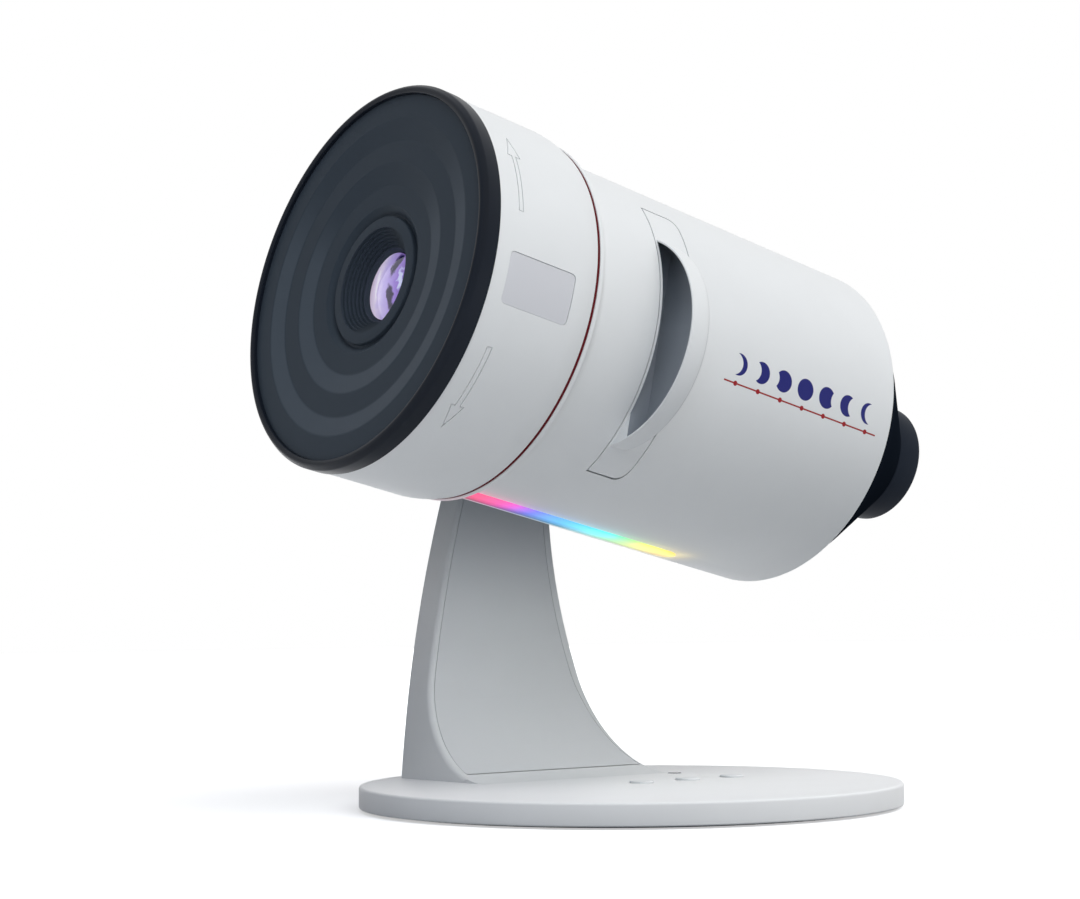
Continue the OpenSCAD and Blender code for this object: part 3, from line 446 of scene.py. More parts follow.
# %% [markdown]
# ## The arm
#
# The arm is a broad moulded plate. From the side its front edge is a long shallow curve and its rear edge is
# hollow, and at the foot its inner face flares out into the base. So two outlines are extruded at right angles
# and only what they share is kept, as one would cut a block with a saw from two sides.

# %% Side outline and cross-section of the arm
ARM_OUTER, ARM_INNER, PIVOT_HEIGHT, FLARE = 60, 50.5, 121, 30
HEAD_RADIUS = 16
FRONT_RADIUS, REAR_RADIUS = 396, 155
REAR_CENTRE = (167.5, 92)


def edge_centre(half, lean):
    a = math.radians(lean)
    return (-half + FRONT_RADIUS * math.cos(a), BASE_TOP - FRONT_RADIUS * math.sin(a))


def side_outline(centre, inset, margin, lean, low, high, cross=1.5, steps=28):
    """The arm's outline from the side, as (y, z) points, from the foot up the front edge and down the rear."""
    radius, reach = FRONT_RADIUS - inset, REAR_RADIUS + margin + inset
    heights = [low + (high - low) * k / steps for k in range(steps + 1)]
    front = [(centre[0] - math.sqrt(radius ** 2 - (z - centre[1]) ** 2), z) for z in heights]
    a, slope = math.radians(lean + cross), math.tan(math.radians(lean))
    turn = (REAR_CENTRE[0] - reach * math.cos(a), REAR_CENTRE[1] - reach * math.sin(a))
    rear = [(REAR_CENTRE[0] - math.sqrt(reach ** 2 - (z - REAR_CENTRE[1]) ** 2), z)
            if z > turn[1] else (turn[0] + (turn[1] - z) * slope, z) for z in heights[::-1]]
    return front + rear


def inner_face(sunk=0.0, top=140):
    """The arm's inner face in a cross-section, as (x, z) points from the top down to the flare's end."""
    centre = (-ARM_INNER + FLARE, BASE_TOP + FLARE)
    return [(-ARM_INNER - sunk, top)] + arc(centre, FLARE + sunk, 180, 270, 24)


arm_front = edge_centre(35.2, 4.4)
section = [(-ARM_OUTER, 140), *inner_face(), (-ARM_INNER + FLARE, BASE_TOP - 1), (-ARM_OUTER, BASE_TOP - 1)]
arm = slab(section, -90, 90, "xzy")
plate = slab(side_outline(arm_front, 0, 0, 18.8, BASE_TOP - 0.2, PIVOT_HEIGHT), -70, -10, "yzx")
head = turned([(0, ARM_INNER - 4), (0, 64), (HEAD_RADIUS, 64), (HEAD_RADIUS, ARM_INNER - 4)], TILT_AXIS)
combine(plate, head, "UNION")
combine(arm, plate, "INTERSECT")


def on_front_edge(point):
    """True on the edge between the arm's front and its inner face, clear of the foot and of the head."""
    x, y, z = point / MM
    flare = -ARM_INNER + FLARE - math.sqrt(max(FLARE ** 2 - min(z - BASE_TOP - FLARE, 0) ** 2, 0))
    front = arm_front[0] - math.sqrt(FRONT_RADIUS ** 2 - (z - arm_front[1]) ** 2)
    return BASE_TOP + 1 < z < PIVOT_HEIGHT - HEAD_RADIUS and abs(x - flare) < 0.06 and abs(y - front) < 0.06


mesh = arm.data
for kind in (mesh.vertices, mesh.polygons):
    kind.foreach_set("select", [False] * len(kind))
for edge in mesh.edges:
    edge.select = all(on_front_edge(mesh.vertices[i].co) for i in edge.vertices)
print("arm blank:", len(mesh.vertices), "vertices,", sum(e.select for e in mesh.edges), "edges to round")
select_only(arm)
bpy.ops.object.mode_set(mode="EDIT")
bpy.ops.mesh.select_mode(type="EDGE")
bpy.ops.mesh.bevel(offset=1.3 * MM, segments=5, profile=0.5)
bpy.ops.mesh.select_mode(type="VERT")
bpy.ops.object.mode_set(mode="OBJECT")

# %% [markdown]
# ## The arm's cover
#
# A thin cover closes the arm's hollow from the inside and follows the flare. It is the same cross-section made
# thin, cut to a slightly smaller outline, and the arm gets a recess that leaves a thin dark line all round.

# %% Cover and recess
COVER_LEAN, COVER_MARGIN, SEAM = 21.8, 2.4, 0.18
cover_front = edge_centre(32.8, 3.8)
COVER_LOW, COVER_HIGH = BASE_TOP + 2.2, PIVOT_HEIGHT - HEAD_RADIUS - 2
sheet = [(x, z) for x, z in inner_face()] + [(x, z) for x, z in inner_face(1.9)][::-1]
cover = slab(sheet, -90, 90, "xzy")
combine(cover, slab(side_outline(cover_front, 0, COVER_MARGIN, COVER_LEAN, COVER_LOW, COVER_HIGH), -70, -10, "yzx"),
        "INTERSECT")
recess = slab([(x, z) for x, z in inner_face(-6)] + [(x, z) for x, z in inner_face(2.2)][::-1], -90, 90, "xzy")
combine(recess, slab(side_outline(cover_front, -SEAM, COVER_MARGIN, COVER_LEAN, COVER_LOW - SEAM,
                                  COVER_HIGH + SEAM), -70, -10, "yzx"), "INTERSECT")
combine(arm, recess)
finish(arm, "side_arm", "arm_shell", arm_abs, smooth=20)
finish(cover, "side_arm_cover", "arm_cover", cover_abs, smooth=20)

# %% [markdown]
# ## The barrel's shell
#
# The body is a turned tube with a low collar behind the focus ring and a rounded rear edge. The slot for the
# drawer's front and the groove for the light bar are cut through it afterwards, so their edges lie exactly on
# the curved skin.

# The shell's plastic also carries a print and a painted glow from the light bar. The print is a row of moon phases: the
# depth is folded into equal cells, each with a disc, and a second disc that slides further off from cell to cell takes
# its
# bite. The glow is painted light: the shell itself glows in the bar's colours, which fade out over a few millimetres of
# plastic beside the bar.

# %% Shell plastic with its print and painted glow
BAR_START, BAR_END, BAR_HALF = 43.2, 119, 5
BAR_STOPS = [(0, "#FF4F87"), (0.07, "#F5578A"), (0.15, "#F956A9"), (0.2, "#E958CD"), (0.25, "#B170E8"),
             (0.3, "#717CF0"), (0.36, "#6EA6F3"), (0.42, "#60B8F8"), (0.55, "#53DCF6"), (0.62, "#58F2F2"),
             (0.66, "#66F8E0"), (0.71, "#85F1AE"), (0.76, "#B4F38C"), (0.81, "#E8FB73"), (0.87, "#FFF66F"),
             (0.95, "#F4D558")]
GLOW_REACH, GLOW_STRENGTH = 2.2, 0.45
MOONS, MOON_START, MOON_PITCH, MOON_RADIUS, MOON_ANGLE = 7, 92.0, 8.4, 3.0, -3.6


def bar_rainbow(tree, depth):
    """The light bar's colour at a depth."""
    along = add_node(tree, "ShaderNodeMapRange", Value=depth, From_Min=BAR_START, From_Max=BAR_END).outputs["Result"]
    return ramp(tree, along, [(spot, hex_colour(colour)) for spot, colour in BAR_STOPS])


printed_abs = moulded_plastic("white_abs_printed", "#EBEDEE", 0.45, specular=0.2)
tree = printed_abs.node_tree
shader = tree.nodes["Principled BSDF"]
sideways, upward, depth = in_barrel_parts(tree)
arc_height = maths(tree, "SUBTRACT", maths(tree, "MULTIPLY", maths(tree, "ARCTAN2", upward, sideways), 47.4),
                   math.radians(MOON_ANGLE) * 47.4)
cells = maths(tree, "DIVIDE", maths(tree, "SUBTRACT", depth, MOON_START - MOON_PITCH / 2), MOON_PITCH)
cell = maths(tree, "FLOOR", cells)
across = maths(tree, "MULTIPLY", maths(tree, "SUBTRACT", maths(tree, "SUBTRACT", cells, cell), 0.5), MOON_PITCH)
from_full = maths(tree, "SUBTRACT", cell, (MOONS - 1) / 2)
side = maths(tree, "SIGN", maths(tree, "ADD", from_full, 0.1))
slide = maths(tree, "SUBTRACT", 2.1, maths(tree, "MULTIPLY", maths(tree, "ABSOLUTE", from_full), 0.52))
shade = maths(tree, "SUBTRACT", across, maths(tree, "MULTIPLY", maths(tree, "MULTIPLY", slide, side), MOON_RADIUS))
disc = smooth_range(tree, distance(tree, across, arc_height), MOON_RADIUS + 0.06, MOON_RADIUS - 0.06)
bite = smooth_range(tree, distance(tree, shade, arc_height), MOON_RADIUS - 0.06, MOON_RADIUS + 0.06)
on_row = maths(tree, "MULTIPLY", maths(tree, "LESS_THAN", maths(tree, "ABSOLUTE", from_full), MOONS / 2),
               maths(tree, "GREATER_THAN", sideways, 0.0))
moons = maths(tree, "MULTIPLY", maths(tree, "MULTIPLY", disc, bite), on_row)
off_line = maths(tree, "ABSOLUTE", maths(tree, "ADD", arc_height, MOON_RADIUS + 2.2))
dots = maths(tree, "MULTIPLY",
             smooth_range(tree, distance(tree, across, maths(tree, "ADD", arc_height, MOON_RADIUS + 2.2)),
                                            0.75, 0.65), on_row)
line = maths(tree, "MULTIPLY", smooth_range(tree, off_line, 0.26, 0.18), on_row)
red = maths(tree, "MAXIMUM", dots, line)
plain = shader.inputs["Base Color"].links[0].from_socket
inked = mix(tree, moons, mix(tree, red, plain, hex_colour("#9A1018")), hex_colour("#14186E"))
tree.links.new(inked, shader.inputs["Base Color"])

# Painted glow: the shell's lower half emits the bar's colours, fading with the distance from the bar.
beside = maths(tree, "MAXIMUM", maths(tree, "SUBTRACT", maths(tree, "ABSOLUTE", sideways), BAR_HALF), 0.0)
before = maths(tree, "SUBTRACT", BAR_START, depth)
past = maths(tree, "MAXIMUM", maths(tree, "MAXIMUM", before, maths(tree, "SUBTRACT", depth, BAR_END)), 0.0)
fade = maths(tree, "POWER", 2.718, maths(tree, "MULTIPLY", distance(tree, beside, past), -1 / GLOW_REACH))
below = maths(tree, "LESS_THAN", upward, 0.0)
tree.links.new(bar_rainbow(tree, depth), shader.inputs["Emission Color"])
tree.links.new(maths(tree, "MULTIPLY", maths(tree, "MULTIPLY", fade, below), GLOW_STRENGTH),
               shader.inputs["Emission Strength"])
print("moons:", MOONS, "from", MOON_START, "to", MOON_START + (MOONS - 1) * MOON_PITCH, "mm behind the rim")

# %% Barrel shell
BODY, WALL = 47.4, 2.2
DRAWER_FRONT, DRAWER_WIDTH, DRAWER_LOW, DRAWER_HIGH = 62, 11.5, -38.1, 32.9
PANEL_GAP = 0.35
barrel = turned(behind([
    (BODY - WALL, 10.5), (BODY, 10.5), (BODY, 38.95), (50.2, 38.95, 0.25), (50.2, 40.15, 0.5), (BODY, 42.15, 3),
    (BODY, 152.4, 1.2), (36, 152.4), (36, 150.2), (BODY - WALL, 150.2, 1.5)]), steps=256)


def drawer_outline(gap=0.0):
    """The drawer front seen from its side, as (y, -depth) corners: only its rear corners are rounded."""
    low, high = DRAWER_LOW - gap, DRAWER_HIGH + gap
    front, back = -(DRAWER_FRONT - gap), -(DRAWER_FRONT + DRAWER_WIDTH + gap)
    return [(low, front), (high, front), (high, back, 2.5 + gap), (low, back, 2.5 + gap)]


def bar_outline(gap=0.0, start=BAR_START, end=BAR_END, half=BAR_HALF):
    """The light bar seen from below: square in front, round at the rear."""
    rear = arc((0, -(end - half)), half + gap, 0, -180, 24)
    return [(-half - gap, -(start - gap)), (half + gap, -(start - gap))] + rear


combine(barrel, slab(drawer_outline(PANEL_GAP), 20, 60, "yzx", BARREL))
combine(barrel, slab(bar_outline(0.12), -60, -20, "xzy", BARREL))
boss = turned([(5.02, 42), (13, 42), (13, 49.6, 0.4), (5.02, 49.6)], TILT_AXIS, steps=96)
combine(barrel, boss, "UNION")
finish(barrel, "barrel_housing", "barrel_shell", printed_abs)

# %% [markdown]
# ## The focus ring
#
# The white ring in front turns to focus. Its rear edge rolls in with a large radius. Two arrows are engraved in
# it, one for each way to turn. Each is a narrow groove along the arrow's outline: a thin ring is cut to the shape
# between the outline and a slightly smaller one, and is then taken out of the ring's skin.

# %% Focus ring
RING = 51.35
ring_profile = [(47.46, 5.5), (RING, 5.5, 0.25), *arc((32.35, 31), 19, 0, 20, 8), (50.1, 38.05, 0.15), (47.46, 38.05)]
ring = turned(behind(ring_profile), steps=256)


def around(angle, radius=RING):
    """Height above the barrel's middle of a point on the ring's right side, at an angle in degrees."""
    return radius * math.sin(math.radians(angle))


def arrow(middle, width, tail, neck, tip, head):
    """An arrow's outline on the ring's side, as (y, -depth) corners. Angles run up the side."""
    half, wide = width / 2, head / 2
    return [(around(tail), -(middle - half)), (around(neck), -(middle - half)), (around(neck), -(middle - wide)),
            (around(tip), -middle), (around(neck), -(middle + wide)), (around(neck), -(middle + half)),
            (around(tail), -(middle + half))]


def smaller(outline, step):
    """The outline moved inwards by a step: each corner slides along the line that halves its angle."""
    moved = []
    for i, corner in enumerate(outline):
        here = Vector(corner)
        along = (here - Vector(outline[i - 1])).normalized()
        onward = (Vector(outline[(i + 1) % len(outline)]) - here).normalized()
        inward = Vector((-along.y - onward.y, along.x + onward.x)).normalized()
        moved.append(tuple(here + inward * step / inward.dot(Vector((-along.y, along.x)))))
    return moved


ENGRAVED, GROOVE = 0.35, 0.26
for outline in (arrow(12.1, 1.5, 14.5, 33.5, 42, 4.2), arrow(11.6, 1.6, -24.7, -43.4, -52, 4.1)):
    stamp = turned(behind([(RING - ENGRAVED, 6.5), (RING + 1, 6.5), (RING + 1, 18), (RING - ENGRAVED, 18)]), steps=256)
    combine(stamp, slab(outline, 20, 60, "yzx", BARREL), "INTERSECT")
    side = GROOVE if outline[1][0] > 0 else -GROOVE
    combine(stamp, slab(smaller(outline, -side), 15, 65, "yzx", BARREL))
    combine(ring, stamp)

LABEL_ANGLE, LABEL_HALF, LABEL_FLOOR = -5.1, 6.5, RING - 0.5
label_place = BARREL @ Matrix.Rotation(math.radians(LABEL_ANGLE), 4, "Z")


def label_outline(gap=0.0):
    """The label seen from its side, as (y, -depth) corners."""
    side, near, far_end = LABEL_HALF + gap, -10 + gap, -30.5 - gap
    return [(-side, near, 1.2 + gap), (side, near, 1.2 + gap), (side, far_end, 1.2 + gap), (-side, far_end, 1.2 + gap)]


pocket = turned(behind([(LABEL_FLOOR, 9), (RING + 1, 9), (RING + 1, 31), (LABEL_FLOOR, 31)]), steps=256)
combine(pocket, slab(label_outline(0.12), 30, 60, "yzx", label_place), "INTERSECT")
combine(ring, pocket)
finish(ring, "focus_ring_white", "focus_ring", white_abs)

# %% [markdown]
# ## Label plate
#
# A thin grey plate with rounded corners lies in a shallow pocket of the ring. It is a slice of a thin tube, so it
# follows the curve, and the ring's edge stands a hair above it all round.

# %% Label plate
label = turned(behind([(LABEL_FLOOR + 0.01, 9), (RING - 0.15, 9), (RING - 0.15, 31), (LABEL_FLOOR + 0.01, 31)]),
               steps=256)
combine(label, slab(label_outline(), 30, 60, "yzx", label_place), "INTERSECT")
finish(label, "label_grey", "label_plate", label_film)

# %% [markdown]
# ## Black front: rim, hood and bore
#
# The front is matt and dark so that no stray light shows. The rim rolls over the ring's front edge. Inside it,
# the hood steps down in sloped bands to a deep groove round the hub, and the bore narrows in small steps that
# trap reflections.

# %% Rim and stepped hood
rim = turned(behind([(49.15, 3.1), (49.2, 0.4, 0.5), (50.6, 0, 1.2), (51.7, 1.6, 1.2), (51.7, 5.5, 0.15), (47.4, 5.5),
                     (47.4, 9.5), (45.46, 9.5), (45.46, 3.1)]), steps=256)
finish(rim, "front_rim_black", "front_rim", rim_abs)

BAFFLES = 7
bore = []
for k in range(BAFFLES):
    radius = 14.2 + (9.4 - 14.2) * k / BAFFLES
    bore += [(radius, 4.65 + 5.3 * k / BAFFLES), (radius, 4.65 + 5.3 * (k + 1) / BAFFLES)]
bands = [(49.1, 1.5), (42.9, 1.5, 0.8), (37.1, 2.75, 0.8), (31.3, 2.75, 0.8), (25.5, 4.0, 0.8)]
hub = [(20.0, 4.15, 0.3), (18.1, 5.95), (17.4, 5.95), (17.2, 4.75, 0.3)]
back = [(9.4, 10.75), (10.8, 10.75), (15.8, 7.55), (20.2, 7.55), (20.2, 5.7)]
back += [(r, s + 1.6) for r, s, *_ in bands[::-1]]
hood = turned(behind(bands + hub + bore + back), steps=256)
finish(hood, "front_hood_stepped", "stepped_hood", hood_abs)

# %% [markdown]
# ## Lens
#
# The front lens is coated glass whose nose stands in the bore. Its coating throws back violet, so it looks lavender
# from the side. Its colour carries painted reflections, lavender on one side and dark violet on the other: the bore's
# dark ribs show in it as painted dark streaks, and the window behind the camera as a painted pale one.

# %% Front lens
DOME, DOME_RISE, LENS_FRONT = 9.1, 1.8, 8.6
lens_glass, tree, shader = new_material("coated_optical_glass", Roughness=0.06, IOR=1.6, Specular_IOR_Level=0.5)
local = in_barrel(tree)
ripple = add_node(tree, "ShaderNodeTexNoise", Vector=local, Scale=0.45, Detail=2.0).outputs["Color"]
ripple = add_node(tree, "ShaderNodeVectorMath", {"operation": "SUBTRACT"}, _0=ripple,
                  _1=(0.5, 0.5, 0.5)).outputs["Vector"]
ripple = add_node(tree, "ShaderNodeVectorMath", {"operation": "SCALE"}, _0=ripple, Scale=3.0).outputs["Vector"]
local = add_node(tree, "ShaderNodeVectorMath", {"operation": "ADD"}, _0=local, _1=ripple).outputs["Vector"]


def reflection_streak(tree, local, middle, turn, length, width):
    """A painted reflection on the lens: one inside a soft bar, by its middle in millimetres, the turn of its length and
    its two sizes.
    """
    bar = add_node(tree, "ShaderNodeMapping", {"vector_type": "TEXTURE"}, Vector=local, Location=(*middle, 0),
                   Rotation=(0, 0, math.radians(turn)), Scale=(length, width, 1000)).outputs["Vector"]
    size = add_node(tree, "ShaderNodeVectorMath", {"operation": "LENGTH"}, _0=bar).outputs["Value"]
    return smooth_range(tree, size, 1.2, 0.6)


across = add_node(tree, "ShaderNodeSeparateXYZ", Vector=local).outputs["X"]
across = add_node(tree, "ShaderNodeMapRange", Value=across, From_Min=-DOME, From_Max=DOME).outputs["Result"]
coating_and_painted_reflections = ramp(tree, across, [(0.0, hex_colour("#D6C4DC")), (0.25, hex_colour("#DCD0EA")), (0.45, hex_colour("#B4A6DA")),
                           (0.75, hex_colour("#8A6CC2")), (1.0, hex_colour("#5A4696"))])
for middle, turn, length, width, colour in (((2.7, 5.4), 75, 3.4, 1.3, "#140C3E"),
                                            ((2.4, -3.8), 100, 3.6, 1.4, "#231A40"),
                                            ((5.6, 1.0), 95, 3.2, 0.9, "#BEC2E6"),
                                            ((-4.2, 0.6), 90, 4.4, 0.9, "#ECE6F6")):
    coating_and_painted_reflections = mix(tree, reflection_streak(tree, local, middle, turn, length, width), coating_and_painted_reflections, hex_colour(colour))
tree.links.new(coating_and_painted_reflections, shader.inputs["Base Color"])
# Painted light: the lens glows faintly in its own painted colours.
tree.links.new(coating_and_painted_reflections, shader.inputs["Emission Color"])
shader.inputs["Emission Strength"].default_value = 0.62
shader.inputs["Coat Weight"].default_value = 0.3
sphere = (DOME ** 2 + DOME_RISE ** 2) / (2 * DOME_RISE)
half_angle = math.degrees(math.asin(DOME / sphere))
dome = [(sphere * math.sin(math.radians(half_angle * k / 16)),
         LENS_FRONT + sphere - sphere * math.cos(math.radians(half_angle * k / 16))) for k in range(17)]
lens = turned(behind(dome + [(DOME, 14.6), (10.3, 14.65, 0.2), (10.3, 17.6, 0.2), (0, 17.6)]), steps=96)
finish(lens, "front_lens_glass", "front_lens", lens_glass)

# %% [markdown]
# ## Drawer front with its strap handle
#
# The drawer's front is a slice of the barrel's skin. Its handle is part of a turned disc that stands through the
# skin off centre, so that it rises from the skin and sinks back into it, with a crisp front edge and a well rounded
# rear one. The finger room is turned about the same axis and cut in from the front. It goes on as a pocket in the
# skin and ends at a thin web that closes the handle's rear. The pocket has painted shade: a darker grey, darkest
# towards the top.

# %% Drawer front
STRAP_INNER, STRAP_OUTER = 26.8, 28.6
STRAP_FRONT, STRAP_BACK, WEB_FRONT = 62.5, 69.9, 68.5
POCKET_FLOOR, POCKET_SKIN = 41, 1.4
SKIN_INSIDE = BODY - WALL + 0.04
strap_place = BARREL @ Matrix.Translation(Vector((31.7, -3.6, 0)) * MM)

drawer_abs = moulded_plastic("drawer_front_moulded_abs", "#EBEDEE", 0.45, specular=0.2)
tree, shader = drawer_abs.node_tree, drawer_abs.node_tree.nodes["Principled BSDF"]
plain = shader.inputs["Base Color"].links[0].from_socket
across, upward, depth = in_barrel_parts(tree)
from_axis = distance(tree, maths(tree, "SUBTRACT", across, 31.7), maths(tree, "ADD", upward, 3.6))
# Painted shade inside the finger pocket: the colour turns a darker grey, darkest towards the top.
pocket_painted_shade = maths(tree, "MULTIPLY", smooth_range(tree, from_axis, STRAP_OUTER - 0.25, STRAP_OUTER - 0.6),
               maths(tree, "MULTIPLY", smooth_range(tree, depth, STRAP_FRONT + 0.12, STRAP_FRONT + 0.3),
                     maths(tree, "LESS_THAN", depth, WEB_FRONT + 0.1)))
height = add_node(tree, "ShaderNodeMapRange", Value=upward, From_Min=-30.0, From_Max=24.0).outputs["Result"]
grey = ramp(tree, height, [(0.0, hex_colour("#949AA2")), (0.55, hex_colour("#9DA3AB")), (0.8, hex_colour("#868C94")),
                           (1.0, hex_colour("#555B63"))])
tree.links.new(mix(tree, pocket_painted_shade, plain, grey), shader.inputs["Base Color"])

front = turned(behind([(BODY - WALL, 60), (BODY, 60), (BODY, 75), (BODY - WALL, 75)]), steps=256)
combine(front, slab(drawer_outline(), 20, 60, "yzx", BARREL), "INTERSECT")
strap = turned(behind([(0, STRAP_FRONT), (STRAP_OUTER, STRAP_FRONT, 0.2), (STRAP_OUTER, STRAP_BACK, 2.8),
                       (0, STRAP_BACK)]), strap_place, steps=256)
flat = math.degrees(math.acos((POCKET_FLOOR - POCKET_SKIN) / SKIN_INSIDE))
combine(strap, slab(arc((0, 0), SKIN_INSIDE, flat, 360 - flat, 96), -80, -50, "xyz", BARREL))
combine(front, strap, "UNION")
room = turned(behind([(0, STRAP_FRONT - 1), (STRAP_OUTER - 0.45, STRAP_FRONT - 1),
                      (STRAP_OUTER - 0.45, STRAP_FRONT + 0.3),
                      (STRAP_INNER, WEB_FRONT, 1.5), (0, WEB_FRONT)]), strap_place, steps=256)
combine(room, slab([(-50, -90), (POCKET_FLOOR, -90), (POCKET_FLOOR, 90), (-50, 90)], -80, -50, "xyz", BARREL))
combine(room, turned(behind([(0, 50), (BODY, 50), (BODY, STRAP_FRONT + 0.2), (0, STRAP_FRONT + 0.2)]), steps=256))
combine(front, room)
finish(front, "drawer_front_white", "drawer_front_handle", drawer_abs, smooth=30)

# %% [markdown]
# ## Seam ring, light bar, cone and knob
#
# A dark red ring lies sunk in the seam behind the focus ring. The light bar is a diffuser let into the shell's
# underside. At the rear a black cone carries the brightness knob.

# %% Seam ring
seam = turned(behind([(47.43, 38.12), (49.95, 38.12, 0.1), (49.95, 38.93, 0.1), (47.43, 38.93)]), steps=256)
finish(seam, "seam_ring_red", "seam_ring", seam_red_abs)

# %% Light bar
light_guide, tree, shader = new_material("lit_frosted_acrylic", Roughness=0.35, IOR=1.49)
sideways, _, depth = in_barrel_parts(tree)
rainbow = bar_rainbow(tree, depth)
dimming = add_node(tree, "ShaderNodeMapRange", Value=sideways, From_Min=-4.5, From_Max=1.5, To_Min=0.25, To_Max=1.0)
tree.links.new(mix(tree, 0.7, rainbow, (0.02, 0.02, 0.02, 1)), shader.inputs["Base Color"])
tree.links.new(rainbow, shader.inputs["Emission Color"])
tree.links.new(dimming.outputs["Result"], shader.inputs["Emission Strength"])
bar = turned(behind([(45.9, 40), (47.5, 40), (47.5, 122), (45.9, 122)]), steps=256)
combine(bar, slab(bar_outline(), -60, -20, "xzy", BARREL), "INTERSECT")
soften(bar, 0.15)
finish(bar, "light_bar_lit", "light_bar", light_guide)

# %% Rear cone and knob
cone = turned(behind([(0, 187.1), (0, 187.8), (18.2, 187.7, 0.3), (19.0, 187.0, 0.3), (40.9, 159.9, 4),
                      (42.8, 156.4, 2),
                      (42.8, 152.4), (36, 152.4), (36, 156.4)]), steps=256)
finish(cone, "rear_cone_black", "rear_cover", cone_abs)
knob = turned(behind([(0, 188.7), (17, 188.7), (17, 188.3), (17.8, 188.3, 0.3), (17.8, 197.5, 1.2), (0, 197.5)]))
finish(knob, "rear_knob_black", "rear_knob", knob_abs)

# %% Cap over the tilt joint
cap = turned([(0, 56), (0, 61.6), (13.5, 61.6, 0.6), (13.5, 60), (12.3, 60), (12.3, 58)], TILT_AXIS, steps=128)
finish(cap, "pivot_cap_white", "pivot_cap", white_abs)

# %% [markdown]
# ## Finishes inside
#
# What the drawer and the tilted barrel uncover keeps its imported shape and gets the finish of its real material:
# turned or rolled steel with fine drawn lines, matt black polyamide, green boards with lighter tracks, rubber,
# sintered bronze and a printed star film.


# %% Metals
def drawn_metal(name, colour, roughness, lines=0.4):
    """Bare metal whose roughness wanders along fine parallel lines, as drawing or turning leaves it."""
    material, tree, shader = new_material(name, Metallic=1.0, Roughness=roughness)
    where = add_node(tree, "ShaderNodeTexCoord").outputs["Object"]
    stretched = add_node(tree, "ShaderNodeMapping", Vector=where, Scale=(1.0, 1.0, 0.08)).outputs["Vector"]
    fine = add_node(tree, "ShaderNodeTexNoise", Vector=stretched, Scale=1 / (lines * MM), Detail=3.0).outputs["Fac"]
    clouds = add_node(tree, "ShaderNodeTexNoise", Vector=where, Scale=1 / (6 * MM), Detail=2.0).outputs["Fac"]
    base = hex_colour(colour)
    dull = [c * 0.8 for c in base[:3]] + [1]
    tree.links.new(ramp(tree, clouds, [(0.3, dull), (0.7, base)]), shader.inputs["Base Color"])
    sheen = add_node(tree, "ShaderNodeMapRange", Value=fine, To_Min=roughness - 0.08, To_Max=roughness + 0.08)
    tree.links.new(sheen.outputs["Result"], shader.inputs["Roughness"])
    bump = add_node(tree, "ShaderNodeBump", Strength=0.3, Distance=0.01 * MM, Height=fine)
    tree.links.new(bump.outputs["Normal"], shader.inputs["Normal"])
    return material


zinc_steel = drawn_metal("zinc_plated_steel", "#B9BCBE", 0.35)
spring_steel = drawn_metal("blued_spring_steel", "#6E7278", 0.3)
bronze = drawn_metal("sintered_bronze", "#A98352", 0.45, lines=0.2)
aluminium = drawn_metal("anodised_aluminium", "#4A4D51", 0.4)
motor_steel = drawn_metal("motor_can_steel", "#A4A6A8", 0.3)

# %% Plastics, rubber and boards
black_polyamide = moulded_plastic("black_glass_filled_polyamide", "#1B1D20", 0.55, grain=0.8, depth=0.02, specular=0.3)
grey_acetal = moulded_plastic("grey_acetal", "#8C9094", 0.35)
white_acetal = moulded_plastic("white_acetal", "#DADBD6", 0.35)
mat_rubber = moulded_plastic("soft_black_rubber", "#202225", 0.8, grain=1.2, depth=0.05, shift=0.1, specular=0.2)
cable_pvc = moulded_plastic("flat_cable_pvc", "#A9ACB0", 0.5)
ptfe = moulded_plastic("friction_washer_ptfe", "#E4E2DA", 0.4)

solder_mask, tree, shader = new_material("green_solder_mask", Roughness=0.35, IOR=1.5)
where = add_node(tree, "ShaderNodeTexCoord").outputs["Object"]
tracks = add_node(tree, "ShaderNodeTexBrick", {"offset": 0.5}, Vector=where, Scale=1 / (6 * MM), Mortar_Size=0.04,
                  Color1=hex_colour("#12502F"), Color2=hex_colour("#15583A"), Mortar=hex_colour("#2C7A4C"))
tree.links.new(tracks.outputs["Color"], shader.inputs["Base Color"])
raised = add_node(tree, "ShaderNodeBump", Strength=0.4, Distance=0.03 * MM, Height=tracks.outputs["Fac"])
tree.links.new(raised.outputs["Normal"], shader.inputs["Normal"])

star_film, tree, shader = new_material("printed_star_film", Roughness=0.15, IOR=1.55)
where = add_node(tree, "ShaderNodeTexCoord").outputs["Object"]
stars = add_node(tree, "ShaderNodeTexVoronoi", Vector=where, Scale=1 / (2.2 * MM), Randomness=1.0).outputs["Distance"]
nebula = add_node(tree, "ShaderNodeTexNoise", Vector=where, Scale=1 / (14 * MM), Detail=4.0).outputs["Fac"]
night = ramp(tree, nebula, [(0.35, hex_colour("#05070F")), (0.6, hex_colour("#1A1F4A")), (0.75, hex_colour("#4A2A5E"))])
tree.links.new(mix(tree, smooth_range(tree, stars, 0.14, 0.06), night, hex_colour("#F2F2E8")),
               shader.inputs["Base Color"])

lens_crown, tree, shader = new_material("crown_optical_glass", Roughness=0.02, IOR=1.52, Transmission_Weight=1.0)
where = add_node(tree, "ShaderNodeTexCoord").outputs["Object"]
coating = add_node(tree, "ShaderNodeTexNoise", Vector=where, Scale=1 / (30 * MM)).outputs["Fac"]
tree.links.new(ramp(tree, coating, [(0.4, hex_colour("#E6E4F4")), (0.6, hex_colour("#EEF2F6"))]),
               shader.inputs["Base Color"])

